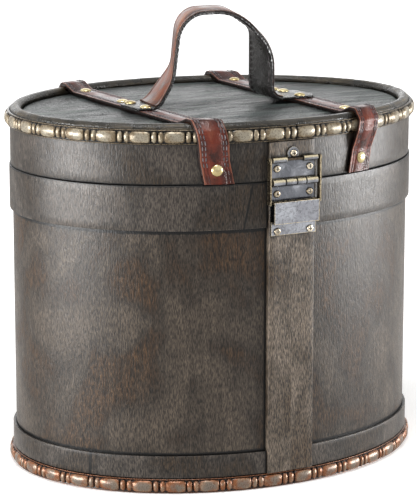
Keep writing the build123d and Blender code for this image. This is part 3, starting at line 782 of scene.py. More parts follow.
# Brown bridle leather on top of the handle, with a dark edge
COVER_LEATHER = Leather(
    "handle_bridle_leather", "#3a1c0f", "#6c351b", "#906a4b", "#140d0b", half_width=16.5,
    thickness=1.4, wear=0.5, edge_wear=0.1, ior=1.4, gloss_low=0.3, gloss_high=0.46,
)
# Black lining leather under the handle and on the tabs
LINING_LEATHER = Leather(
    "handle_lining_leather", "#181717", "#262424", "#4b4845", "#121010", half_width=16.5,
    thickness=1.8, wear=0.5, edge_wear=0.3, relief=0.35, gloss_low=0.16, gloss_high=0.36,
)
# Antique bronze plate on steel: grey flats, pale gold worn edges, a painted highlight on the upper side
# of the barrels, painted shade in the knuckle joints
HINGE_METAL = WornMetal(
    "antique_bronze_plate", "#6a6c72", "#97999f", "#dccfae", wear_width=0.6, gloss_low=0.16,
    gloss_high=0.28, barrels=((-126.1, 220.7, 2.5), (-126.1, 236.6, 1.9)),
    splits=(-12.1, -3.1, 4.4),
)
# The pocket is polished brighter by the stay
POCKET_METAL = WornMetal(
    "antique_bronze_pocket", "#78797e", "#8e9095", "#cdb98e", wear_width=0.7
)
# Thin bars and pins of the stay, rubbed gold all round
STAY_METAL = WornMetal("antique_bronze_wire", "#4a4137", "#7d705b", "#b5a78a", wear_width=0.9)
# Brass screws and rivets: pale gold, with painted shade in their slots and round their feet
SCREW_METAL = WornMetal(
    "brass_screw", "#a0927c", "#dacfba", "#f6efe0", wear_width=0.4, gloss_low=0.2,
    gloss_high=0.3, shade_reach=3.0,
)
RIVET_METAL = WornMetal(
    "brass_cap", "#b3a173", "#d9cba0", "#ece2c4", gloss_low=0.2, gloss_high=0.3, shade_reach=1.2
)
# Waxed linen thread, grey with soil
THREAD = Thread("waxed_linen_thread", "#6b6265", "#2a2324")
# Matt white paint, close to the white of the surroundings
FLOOR = FloorPaint("matt_white_floor", "#f4f3f1", "#f1f0ee", 0.35)
# Angle in degrees past which an edge of a kept solid is softened
SOFTENED_ANGLE = 40.0
# Lengths under this count as none
TINY = 1e-6
# Stitches: from one to the next, length, profile along and out, how far the thread's middle
# stands over the leather as a share of its radius, and rows at a strip's ends without any
STITCH_PITCH = 4.2
STITCH_LENGTH = 3.1
STITCH_PROFILE = ((-0.5, 0.35), (-0.38, 0.95), (0.0, 1.1), (0.38, 0.95), (0.5, 0.35))
STITCH_STAND = 0.35
STITCH_SIDES = 6
BARE_ROWS = 3


class MeshDraft:
    """Points, faces and skin coordinates gathered in millimetres before they become an object."""

    def __init__(self) -> None:
        """Start empty."""
        self.points: list[Vector] = []
        self.relief: list[float] = []
        self.faces: list[list[int]] = []
        self.coords: list[list[Point2]] = []

    def grid(
        self,
        rows: Sequence[Row],
        us: Sequence[float],
        vs: Sequence[float],
        loop_rows: bool = False,
        loop_cols: bool = True,
        caps: bool = False,
        relief: Sequence[Sequence[float]] | None = None,
    ) -> None:
        """Add a grid of points and the faces between them.

        Args:
            rows: Rows of points, all of one length.
            us: Skin coordinate of each row, with one more where the rows close.
            vs: Skin coordinate of each column, with one more where the columns close.
            loop_rows: Whether the last row joins the first.
            loop_cols: Whether the last column joins the first.
            caps: Whether the first and last rows are closed with a face.
            relief: Height of each point in its ornament, from 0 to 1.
        """
        start, count, width = len(self.points), len(rows), len(rows[0])
        for number, row in enumerate(rows):
            self.points.extend(row)
            self.relief.extend(relief[number] if relief else [0.0] * width)
        for i in range(count if loop_rows else count - 1):
            for j in range(width if loop_cols else width - 1):
                low, high = start + i * width, start + (i + 1) % count * width
                after = (j + 1) % width
                self.faces.append([low + j, high + j, high + after, low + after])
                corners = ((i, j), (i + 1, j), (i + 1, j + 1), (i, j + 1))
                self.coords.append([(us[a], vs[b]) for a, b in corners])
        for i in (0, count - 1) if caps else ():
            self.faces.append([start + i * width + j for j in range(width)])
            self.coords.append([(us[i] + vs[j] / 2, vs[j]) for j in range(width)])

    def turned(self, place: Matrix, profile: Sequence[Point2], sides: int) -> None:
        """Add a closed turned shape.

        Args:
            place: Matrix whose Z is the turning axis, in millimetres.
            profile: Radius and height of each ring, from one end to the other.
            sides: Number of points round each ring.
        """
        turns = [math.tau * k / sides for k in range(sides)]
        rows = [
            [place @ Vector((r * math.cos(turn), r * math.sin(turn), z)) for turn in turns]
            for r, z in profile
        ]
        self.grid(rows, [z for _, z in profile], [float(k) for k in range(sides + 1)], caps=True)

    def stitches(self, pairs: Sequence[Row], radius: float) -> None:
        """Add a row of stitches along a strip, short of its two ends.

        Args:
            pairs: Rows of two points: one on the surface and one straight above it.
            radius: Radius of the thread.
        """
        profile = [(radius * share, STITCH_LENGTH * along) for along, share in STITCH_PROFILE]
        line = [(low, (high - low).normalized()) for low, high in pairs[BARE_ROWS:-BARE_ROWS]]
        run = STITCH_PITCH / 2
        for (a, normal), (b, _) in zip(line, line[1:]):
            step = (b - a).length
            while run < step:
                along = (b - a).normalized()
                side = normal.cross(along).normalized()
                axes = Matrix((side, along.cross(side), along)).transposed().to_4x4()
                axes.translation = a.lerp(b, run / step) + normal * radius * STITCH_STAND
                self.turned(axes, profile, STITCH_SIDES)
                run += STITCH_PITCH
            run -= step

    def to_object(self, name: str, sharp: float = 42.0) -> bpy.types.Object:
        """Make the object, with outward faces and sharp edges past an angle.

        Args:
            name: Name of the piece.
            sharp: Angle in degrees past which an edge stays sharp.

        Returns:
            The new object, linked to the scene.
        """
        mesh = bpy.data.meshes.new(name)
        mesh.from_pydata([tuple(p * MM) for p in self.points], [], self.faces)
        layer = mesh.uv_layers.new(name="skin")
        flat = [value for face in self.coords for corner in face for value in corner]
        layer.data.foreach_set("uv", flat)
        height = mesh.attributes.new("relief", "FLOAT", "POINT")
        height.data.foreach_set("value", self.relief)
        work = bmesh.new()
        work.from_mesh(mesh)
        bmesh.ops.recalc_face_normals(work, faces=work.faces)
        for edge in work.edges:
            edge.smooth = edge.calc_face_angle(0.0) < math.radians(sharp)
        for face in work.faces:
            face.smooth = True
        work.to_mesh(mesh)
        work.free()
        made = bpy.data.objects.new(name, mesh)
        bpy.context.scene.collection.objects.link(made)
        return made


@dataclass(frozen=True)
class Oval:
    """The box's oval. Insets are measured inwards from the outer face of the bands."""

    half_length: float = 155.0
    half_width: float = 122.2
    # number of steps that a run along the oval is measured with
    fine: int = 3000

    def outward(self, angle: float, inset: float) -> Vector:
        """Give the outward direction at a parameter angle."""
        along, across = self.half_length - inset, self.half_width - inset
        return Vector((math.cos(angle) / along, math.sin(angle) / across, 0)).normalized()

    def at(self, angle: float, inset: float, out: float, height: float) -> Vector:
        """Give the point at a parameter angle, a distance out along the normal and a height.

        Args:
            angle: Parameter angle on the oval.
            inset: How far the oval lies inside the outermost one.
            out: Distance out along the normal.
            height: Height of the point.

        Returns:
            The point.
        """
        x = (self.half_length - inset) * math.cos(angle)
        y = (self.half_width - inset) * math.sin(angle)
        return Vector((x, y, height)) + self.outward(angle, inset) * out

    def front_angle(self, x: float, inset: float) -> float:
        """Give the parameter angle of an X on the hinge side."""
        return -math.acos(x / (self.half_length - inset))

    def stations(self, inset: float, start: float, end: float, count: int) -> list[Point2]:
        """Give evenly spaced places along the oval.

        Args:
            inset: Inset of the oval that is measured.
            start: Parameter angle of the first place.
            end: Parameter angle of the last place.
            count: Number of steps from the first to the last.

        Returns:
            Parameter angle and distance from the start for each place, one more than count.
        """
        angles = [start + (end - start) * k / self.fine for k in range(self.fine + 1)]
        spots = [self.at(angle, inset, 0, 0) for angle in angles]
        runs = [0.0]
        for a, b in zip(spots, spots[1:]):
            runs.append(runs[-1] + (b - a).length)
        places, k = [], 0
        for step in range(count + 1):
            run = runs[-1] * step / count
            while k < self.fine - 1 and runs[k + 1] < run:
                k += 1
            share = (run - runs[k]) / (runs[k + 1] - runs[k])
            places.append((angles[k] + (angles[k + 1] - angles[k]) * share, run))
        return places


OVAL = Oval()


def rounded_path(
    points: Sequence[Point2], radii: Sequence[float], arc_steps: int, line_steps: int
) -> list[Point2]:
    """Round the corners of a path.

    Args:
        points: Corners of the path, with its two ends.
        radii: Radius at each corner but the ends. A radius of 0 keeps the corner.
        arc_steps: Number of steps round each corner.
        line_steps: Number of steps along each straight run.

    Returns:
        Points along the rounded path, always the same number for the same corners.
    """
    runs: list[list[Point2]] = [[points[0]]]
    for before, corner, after, radius in zip(points, points[1:], points[2:], radii):
        a, b, c = Vector(before), Vector(corner), Vector(after)
        into, onward = (b - a).normalized(), (c - b).normalized()
        turn = math.atan2(into.cross(onward), into.dot(onward))
        reach = radius * math.tan(abs(turn) / 2)
        if reach < TINY:
            runs.append([tuple(b)])
            continue
        side = math.copysign(1, turn)
        first = b - into * reach
        centre = first + Vector((-into.y, into.x)) * radius * side
        arm = first - centre
        arc = []
        for step in range(arc_steps + 1):
            angle = turn * step / arc_steps
            cos, sin = math.cos(angle), math.sin(angle)
            arc.append((centre.x + arm.x * cos - arm.y * sin, centre.y + arm.x * sin + arm.y * cos))
        runs.append(arc)
    runs.append([points[-1]])
    path: list[Point2] = list(runs[0])
    for run in runs[1:]:
        a, b = Vector(path[-1]), Vector(run[0])
        path.extend(tuple(a.lerp(b, step / line_steps)) for step in range(1, line_steps))
        path.extend(run)
    return path


def running_length(points: Sequence[Sequence[float]]) -> list[float]:
    """Give the distance along a path at each of its points.

    Args:
        points: Points of the path.

    Returns:
        The distances.
    """
    runs = [0.0]
    for a, b in zip(points, points[1:]):
        runs.append(runs[-1] + (Vector(b) - Vector(a)).length)
    return runs


def path_normals(path: Sequence[Point2]) -> list[Vector]:
    """Give the direction to the left of a flat path at each of its points.

    Args:
        path: Points of the path.

    Returns:
        The directions.
    """
    normals = []
    for k in range(len(path)):
        a, b = Vector(path[max(k - 1, 0)]), Vector(path[min(k + 1, len(path) - 1)])
        along = (b - a).normalized()
        normals.append(Vector((-along.y, along.x)))
    return normals


def facing(place: Vector, outward: Vector) -> Matrix:
    """Give the matrix at a place whose Z points outward.

    Args:
        place: Origin of the matrix.
        outward: Direction of its Z.

    Returns:
        The matrix.
    """
    axes = outward.to_track_quat("Z", "Y").to_matrix().to_4x4()
    axes.translation = place
    return axes


def soft_noise(*values: float) -> float:
    """Give smooth noise from about -1 to 1 at up to three values."""
    return noise.noise(Vector((*values, 0.0, 0.0)[:3]))


def coat(
    piece: bpy.types.Object, finish: bpy.types.Material, slot: str, nodes: Iterable[str] = ()
) -> None:
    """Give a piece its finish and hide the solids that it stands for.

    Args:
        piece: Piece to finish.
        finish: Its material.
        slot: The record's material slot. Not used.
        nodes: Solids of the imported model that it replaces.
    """
    piece.data.materials.clear()
    piece.data.materials.append(finish)
    if nodes:
        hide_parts(*nodes)


def dress(
    piece: bpy.types.Object,
    finish: bpy.types.Material,
    body: Body,
    slot: str,
    nodes: Iterable[str] = (),
) -> None:
    """Finish a piece and let it ride on a body.

    Args:
        piece: Piece to dress.
        finish: Its material.
        body: Body that it rides on.
        slot: The record's material slot.
        nodes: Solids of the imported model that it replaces.
    """
    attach(piece, body.value)
    coat(piece, finish, slot, nodes)
    log.info("%s rides on %s", piece.name, body.value)


def redress(
    names: Iterable[str], finish: bpy.types.Material, slot: str, soften: float
) -> None:
    """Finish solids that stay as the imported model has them.

    Args:
        names: Names of the nodes.
        finish: Their material.
        slot: The record's material slot.
        soften: Width of the bevel on their edges in millimetres.
    """
    for name in names:
        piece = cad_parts[name]
        coat(piece, finish, slot)
        bevel = piece.modifiers.new("softened edges", "BEVEL")
        bevel.width = soften * MM
        bevel.segments = 2
        bevel.limit_method = "ANGLE"
        bevel.angle_limit = math.radians(SOFTENED_ANGLE)
        log.info("%s keeps its solid", name)


@dataclass
class BandRing:
    """One bentwood ring: a closed wall, or a band that butts on the batten."""

    name: str
    node: str
    inset: float
    thickness: float
    bottom: float
    top: float
    gap_half: float = 0.0
    gap_middle: float = -4.2
    soft: float = 0.5
    # how far the upper edge wanders, over what length, and how much of that goes inwards
    sway: float = 0.0
    sway_length: float = 90.0
    sway_inward: float = 0.2
    count: int = 200
    corner_steps: int = 3
    face_steps: int = 6

    def build(self) -> bpy.types.Object:
        """Build the ring as a mesh.

        Returns:
            The ring.
        """
        thick, soft = self.thickness, self.soft
        loop = [
            (-thick / 2, self.bottom),
            (0, self.bottom),
            (0, self.top),
            (-thick, self.top),
            (-thick, self.bottom),
        ]
        radii = [soft, soft, soft / 2, soft / 2]
        path = rounded_path([*loop, loop[0]], radii, self.corner_steps, self.face_steps)[:-1]
        closed = not self.gap_half
        start, end = 0.0, math.tau
        if not closed:
            start = OVAL.front_angle(self.gap_middle + self.gap_half, self.inset)
            end += OVAL.front_angle(self.gap_middle - self.gap_half, self.inset)
        places = OVAL.stations(self.inset, start, end, self.count)
        rows = []
        for angle, run in places[: -1 if closed else None]:
            lean = self.sway * soft_noise(run / self.sway_length, self.top)
            inward = min(lean, 0) * self.sway_inward
            row = []
            for out, z in path:
                rise = lean if z > self.bottom + soft else 0.0
                row.append(OVAL.at(angle, self.inset, out + inward, z + rise))
            rows.append(row)
        heights = [z for _, z in path]
        draft = MeshDraft()
        draft.grid(
            rows, [run for _, run in places], [*heights, heights[0]], loop_rows=closed, caps=not closed
        )
        return draft.to_object(self.name)


@dataclass
class Batten:
    """Upright batten with a flat face and a back that follows the wall."""

    name: str
    middle: float
    width: float
    face: float
    back_inset: float
    bottom: float
    top: float
    soft: float = 0.6
    # how far the two ends are softened, and how deep behind the face
    end_soft: float = 0.3
    end_depth: float = 1.0
    # moves the grain so that it doesn't repeat the wall's
    grain_shift: float = 40.0
    steps: int = 8
    corner_steps: int = 3
    face_steps: int = 4

    def build(self) -> bpy.types.Object:
        """Build the batten as a mesh.

        Returns:
            The batten.
        """
        half, across = self.width / 2, OVAL.half_width - self.back_inset
        along = OVAL.half_length - self.back_inset
        low, high = self.middle - half, self.middle + half
        back = []
        for k in range(self.steps + 1):
            x = low + self.width * k / self.steps
            back.append((x, -across * math.sqrt(1 - (x / along) ** 2)))
        corners = [(self.middle, self.face), (high, self.face), *reversed(back), (low, self.face)]
        radii = [self.soft] + [0.0] * len(back) + [self.soft]
        path = rounded_path([*corners, corners[0]], radii, self.corner_steps, self.face_steps)[:-1]
        around = running_length([*path, path[0]])
        tall = self.top - self.bottom
        levels = [
            self.bottom,
            self.bottom + self.end_soft,
            *(self.bottom + tall * k / self.steps for k in range(1, self.steps)),
            self.top - self.end_soft,
            self.top,
        ]
        rows = []
        for level in levels:
            inset = self.end_soft if level in (self.bottom, self.top) else 0.0
            row = []
            for x, y in path:
                narrowed = self.middle + (x - self.middle) * (1 - inset / half)
                in_face = y < self.face + self.end_depth
                row.append(Vector((narrowed, y + inset if in_face else y, level)))
            rows.append(row)
        draft = MeshDraft()
        draft.grid(rows, levels, around, caps=True)
        for face in draft.coords:
            face[:] = [(v + self.grain_shift, u) for u, v in face]
        return draft.to_object(self.name)


@dataclass
class Moulding:
    """Bead-and-reel moulding ring, split at the front."""

    name: str
    inset: float
    backing: float
    proud: float
    bottom: float
    height: float = 10.5
    split_middle: float = -1.0
    split: float = 1.0
    pitch: float = 23.3
    steps: int = 40
    crown_steps: int = 10
    # share of the pitch that the bead takes
    bead_share: float = 0.6
    # how much a bead draws in at its ends, outwards, upwards and in wear, which also places the painted
    # highlight, and each curve's power
    bead_ends: tuple[Point2, Point2, Point2] = ((0.4, 3), (0.16, 4), (0.5, 2.4))
    # share of its half pitch that a reel takes, then its groove and its disc, outwards, upwards
    # and in wear, which also places the painted highlight
    reel_share: float = 0.88
    reels: tuple[Point2, Point2, Point2] = ((0.3, 0.63), (0.6, 0.37), (0.1, 0.66))
    # height of the lip along both edges, and its points: out past the backing, up, and wear, which also
    # places the painted highlight
    lip: float = 0.9
    lip_points: tuple[tuple[float, float, float], ...] = (
        (-0.3, 0.0, 0.3),
        (0.3, 0.25, 0.5),
        (0.35, 0.55, 0.5),
        (0.0, 0.85, 0.15),
    )
    # wear in the hollows, and how quickly it grows towards the crown; the wear value also places the
    # painted highlights
    hollow_wear: float = 0.1
    wear_power: float = 0.7
    # how uneven the casting is, and over what length
    uneven: float = 0.05
    uneven_length: float = 13.0
    seed: float = 0.0

    def swell(self, share: float) -> tuple[float, float, float]:
        """Give the ornament's form at a share of its pitch.

        A long barrel-shaped bead takes more than half of the pitch. Two narrow reels fill the
        rest, with a groove on each side of both.

        Args:
            share: Place in the pitch, from 0 to 1.

        Returns:
            Outward share and upward share of the full bead, and how worn the place is, which also places
            its painted highlight.
        """
        if share < self.bead_share:
            off = abs(2 * share / self.bead_share - 1)
            out, tall, worn = (1.0 - depth * off**power for depth, power in self.bead_ends)
        else:
            reel = (share - self.bead_share) / (1 - self.bead_share) * 2 % 1
            disc = max(0.0, 1 - ((2 * reel - 1) / self.reel_share) ** 2) ** 0.5
            out, tall, worn = (groove + rise * disc for groove, rise in self.reels)
        return out, tall, worn

    def build(self) -> bpy.types.Object:
        """Build the moulding as a mesh.

        Returns:
            The moulding.
        """
        start = OVAL.front_angle(self.split_middle + self.split / 2, self.inset)
        end = OVAL.front_angle(self.split_middle - self.split / 2, self.inset) + math.tau
        total = OVAL.stations(self.inset, start, end, 1)[-1][1]
        beads = round(total / self.pitch)
        places = OVAL.stations(self.inset, start, end, beads * self.steps)
        half, reach = self.height / 2, self.height / 2 - self.lip
        edge, hollow = self.backing, self.hollow_wear
        lips = [(0.0, -half, hollow)]
        lips += [(edge + out, up - half, worn) for out, up, worn in self.lip_points]
        middle = self.bottom + half
        rows, relief = [], []
        for number, (angle, run) in enumerate(places):
            out_share, up_share, high = self.swell(number / self.steps % 1)
            cast = 1 + self.uneven * soft_noise(run / self.uneven_length, self.seed)
            section = list(lips)
            for k in range(self.crown_steps + 1):
                phi = math.pi * (k / self.crown_steps - 0.5)
                stand = (self.proud - edge) * min(out_share * cast, 1.0) * math.cos(phi)
                tall = reach * min(up_share * cast, 1.0) * math.sin(phi)
                worn = hollow + (high - hollow) * math.cos(phi) ** self.wear_power
                section.append((edge + stand, tall, worn))
            section += [(out, -z, worn) for out, z, worn in reversed(lips)]
            rows.append([OVAL.at(angle, self.inset, out, middle + z) for out, z, _ in section])
            relief.append([worn for _, _, worn in section])
        around = running_length([*((out, z) for out, z, _ in section), (0.0, -half)])
        draft = MeshDraft()
        draft.grid(rows, [run for _, run in places], around, caps=True, relief=relief)
        return draft.to_object(self.name, sharp=60)


@dataclass
class BodyShell:
    """The bentwood body with its bands, batten, floor and foot moulding."""

    slot: str = "stained_wood"
    wall_inset: float = 2.3
    wall_thickness: float = 4.0
    top: float = 220.5
    band_thickness: float = 2.2
    band_soft: float = 0.45
    middle_band_bottom: float = 188.7
    base_band_bottom: float = 10.8
    base_band_top: float = 27.0
    batten_middle: float = -4.2
    batten_width: float = 36.6
    batten_face: float = -123.1
    butt: float = 0.3
    # pieces that lie on the wall are sunk into it by this much
    seat: float = 0.1
    foot_backing: float = 2.5
    foot_proud: float = 5.2
    foot_seed: float = 3.0
    board_soft: float = 0.5

    def band(self, name: str, node: str, bottom: float, top: float, sway: float) -> bpy.types.Object:
        """Build a band that butts on the batten on both sides.

        Args:
            name: Name of the piece.
            node: Solid that it stands for.
            bottom: Height of its lower edge.
            top: Height of its upper edge.
            sway: How far its upper edge wanders.

        Returns:
            The band.
        """
        gap = self.batten_width / 2 + self.butt
        ring = BandRing(name, node, 0.0, self.band_thickness, bottom, top, gap, self.batten_middle,
                        self.band_soft, sway)
        return ring.build()

    def build(self, wood: bpy.types.Material, middle: bpy.types.Material, base: bpy.types.Material,
              batten: bpy.types.Material, board: bpy.types.Material, trim: bpy.types.Material) -> None:
        """Build and dress the pieces of the body.

        Args:
            wood: Finish of the wall.
            middle: Finish of the middle band.
            base: Finish of the base band.
            batten: Finish of the batten.
            board: Finish of the floor.
            trim: Finish of the moulding.
        """
        wall = BandRing(
            "bentwood_body", "body_wall", self.wall_inset, self.wall_thickness, 0.0, self.top
        )
        dress(wall.build(), wood, Body.ROOT, self.slot, (wall.node,))
        bands = (
            ("middle_band", middle, self.middle_band_bottom, self.top, 0.5),
            ("base_band", base, self.base_band_bottom, self.base_band_top, 0.4),
        )
        for node, finish, bottom, top, sway in bands:
            piece = self.band(f"bentwood_{node}", node, bottom, top, sway)
            dress(piece, finish, Body.ROOT, self.slot, (node,))
        upright = Batten("batten_body", self.batten_middle, self.batten_width, self.batten_face,
                         self.wall_inset - self.seat, self.base_band_bottom, self.top)
        dress(upright.build(), batten, Body.ROOT, self.slot, ("body_batten",))
        foot = Moulding("moulding_foot", self.wall_inset - self.seat, self.foot_backing,
                        self.foot_proud, 0.0, seed=self.foot_seed)
        dress(foot.build(), trim, Body.ROOT, "trim_rust", ("base_trim",))
        redress(("bottom_board",), board, self.slot, self.board_soft)


@dataclass
class Lid:
    """The bentwood lid with its batten, moulding, leather top and stuffed roll."""

    slot: str = "stained_wood"
    bottom: float = 220.9
    top: float = 255.2
    inset: float = 0.8
    thickness: float = 4.5
    trim_bottom: float = 249.3
    trim_backing: float = 1.2
    trim_proud: float = 3.9
    trim_seed: float = 8.0
    batten_middle: float = -4.2
    batten_width: float = 35.6
    batten_face: float = -123.1
    batten_room: float = 0.3
    seat: float = 0.1
    board_soft: float = 0.5
    roll_inset: float = 5.1
    roll_height: float = 259.4
    roll_radius: float = 4.1
    roll_gap: float = 0.2
    roll_steps: int = 520
    roll_sides: int = 18
    roll_fill: float = 0.9
    # folds across the roll where it turns tightly, and slack along it: length, depth
    fold: Point2 = (3.4, 0.26)
    slack: Point2 = (70.0, 0.34)
    # how far the leather always lies under the full roll
    sunk: float = 0.1
    panel_inset: float = 9.35
    panel_bottom: float = 255.3
    panel_top: float = 259.0
    panel_fill: float = 0.8
    panel_columns: int = 240
    panel_rings: int = 46
    # creases of the top along X and across, and how deep, and the same for its wide hollows
    crease: tuple[float, float, float] = (46.0, 7.5, 1.1)
    hollow: tuple[float, float, float] = (60.0, 34.0, 0.3)
    deepest: float = 1.2
    # share of the rise at the panel's edge, and how soon inwards the rise and the creases are full
    edge_rise: float = 0.45
    rise_speed: float = 26.0
    crease_speed: float = 14.0

    def roll(self) -> bpy.types.Object:
        """Build the stuffed roll, gathered in small folds where the oval turns tightly.

        Returns:
            The roll.
        """
        gap = self.roll_gap / (OVAL.half_length - self.roll_inset)
        seam = math.pi / 2
        places = OVAL.stations(self.roll_inset, seam + gap, seam + math.tau - gap, self.roll_steps)
        turns = [math.tau * k / self.roll_sides for k in range(self.roll_sides)]
        fold_length, fold_depth = self.fold
        slack_length, slack_depth = self.slack
        rows = []
        for angle, run in places:
            tight = abs(math.cos(angle)) ** 6
            row = []
            for turn in turns:
                cos, sin = math.cos(turn), math.sin(turn)
                fold = soft_noise(run / fold_length, cos * 0.6, sin * 0.6)
                slack = soft_noise(run / slack_length, cos * 2.4, 4 + sin * 2.4)
                sunk = self.sunk + fold_depth * tight * max(fold, -0.3)
                sunk += slack_depth * max(slack, 0.0) ** 0.7
                radius = self.roll_radius - max(sunk, 0.0)
                height = self.roll_height + radius * sin
                row.append(OVAL.at(angle, self.roll_inset, radius * cos, height))
            rows.append(row)
        draft = MeshDraft()
        girth = [self.roll_radius * turn for turn in (*turns, math.tau)]
        draft.grid(rows, [run for _, run in places], girth, caps=True)
        return draft.to_object("roll_leather", sharp=80)

    def panel(self) -> bpy.types.Object:
        """Build the leather top with shallow creases that run along the lid.

        Returns:
            The top.
        """
        turns = [math.tau * k / self.panel_columns for k in range(self.panel_columns)]
        rows = [[OVAL.at(turn, self.panel_inset, 0, self.panel_bottom) for turn in turns]]
        shares = [0.0]
        rise = self.panel_top - self.panel_bottom
        crease_along, crease_across, crease_depth = self.crease
        hollow_along, hollow_across, hollow_depth = self.hollow
        for ring in range(self.panel_rings):
            # the rings lie closer together near the edge and stop just short of the middle
            share = (ring / (self.panel_rings - 1)) ** 1.25 * 0.985
            full = (1 - (1 - min(share * self.rise_speed, 1)) ** 2) ** 0.5
            creased = min(share * self.crease_speed, 1)
            level = self.panel_bottom + rise * (self.edge_rise + (1 - self.edge_rise) * full)
            row = []
            for turn in turns:
                place = OVAL.at(turn, self.panel_inset, 0, 0) * (1 - share)
                crease = abs(soft_noise(place.x / crease_along, place.y / crease_across, 2.0)) ** 0.8
                hollow = soft_noise(place.x / hollow_along, place.y / hollow_across, 9.0)
                dip = crease_depth * crease * creased + hollow_depth * max(hollow, 0.0)
                place.z = level - min(dip, self.deepest)
                row.append(place)
            rows.append(row)
            shares.append(share)
        around = [k / self.panel_columns for k in range(self.panel_columns + 1)]
        draft = MeshDraft()
        draft.grid(rows, shares, around, caps=True)
        return draft.to_object("top_leather", sharp=70)

    def build(self, wood: bpy.types.Material, batten: bpy.types.Material, board: bpy.types.Material,
              trim: bpy.types.Material, top: bpy.types.Material, roll: bpy.types.Material) -> None:
        """Build and dress the pieces of the lid.

        Args:
            wood: Finish of the wall.
            batten: Finish of the batten.
            board: Finish of the board under the leather.
            trim: Finish of the moulding.
            top: Finish of the leather top.
            roll: Finish of the leather roll.
        """
        wall = BandRing("bentwood_lid", "lid_wall", self.inset, self.thickness, self.bottom, self.top)
        dress(wall.build(), wood, Body.LID, self.slot, (wall.node,))
        upright = Batten("batten_lid", self.batten_middle, self.batten_width, self.batten_face,
                         self.inset - self.seat, self.bottom, self.trim_bottom - self.batten_room)
        dress(upright.build(), batten, Body.LID, self.slot, ("lid_batten",))
        ring = Moulding("moulding_lid", self.inset - self.seat, self.trim_backing, self.trim_proud,
                        self.trim_bottom, seed=self.trim_seed)
        dress(ring.build(), trim, Body.LID, "trim_antique_gold", ("top_trim",))
        soft = (
            (self.roll(), roll, "rim_roll", self.roll_fill),
            (self.panel(), top, "lid_panel", self.panel_fill),
        )
        for piece, finish, node, fill in soft:
            dress(piece, finish, Body.LID, "lid_leather", (node,))
        redress(("lid_board",), board, self.slot, self.board_soft)


@dataclass(frozen=True)
class Section:
    """Cross-section of a stitched leather strip."""

    half_width: float
    top: float
    bottom: float
    grooves: tuple[float, ...] = ()
    groove_depth: float = 0.3
    soft: float = 0.6
    # half the groove's width at its mouth and at its floor
    groove_mouth: float = 0.75
    groove_floor: float = 0.3
    # how far the top lies under its middle: at a groove's inner side, its outer side, the edge
    falls: tuple[float, float, float] = (0.02, 0.04, 0.06)

    def points(self) -> list[Point2]:
        """Give the section from the middle of the bottom round over the top.

        Returns:
            Distance across and height of each point.
        """
        inner, outer, edge = self.falls
        floor = self.top - self.groove_depth
        right = [(0.0, self.top)]
        for groove in self.grooves:
            right += [
                (groove - self.groove_mouth, self.top - inner),
                (groove - self.groove_floor, floor),
                (groove + self.groove_floor, floor),
                (groove + self.groove_mouth, self.top - outer),
            ]
        w, s = self.half_width, self.soft
        right += [(w - s, self.top - edge), (w - s * 0.3, self.top - s * 0.3), (w, self.top - s)]
        right += [(w, self.bottom + s * 0.5), (w - s * 0.5, self.bottom)]
        left = [(-across, up) for across, up in reversed(right[1:])]
        return [(0.0, self.bottom), *left, *right]

    def skins(self) -> list[float]:
        """Give the skin coordinate across the strip at each point, with the closing one.

        Returns:
            The coordinates.
        """
        thick, middle = self.top - self.bottom, (self.top + self.bottom) / 2
        values = []
        for across, up in self.points():
            side = math.copysign(1, across)
            if abs(across) >= self.half_width - TINY:
                values.append(side * (self.half_width + self.top - up))
            elif up > middle:
                values.append(across)
            else:
                values.append(side * (2 * self.half_width + thick - abs(across)))
        values[0] = -(2 * self.half_width + thick)
        return [*values, -values[0]]


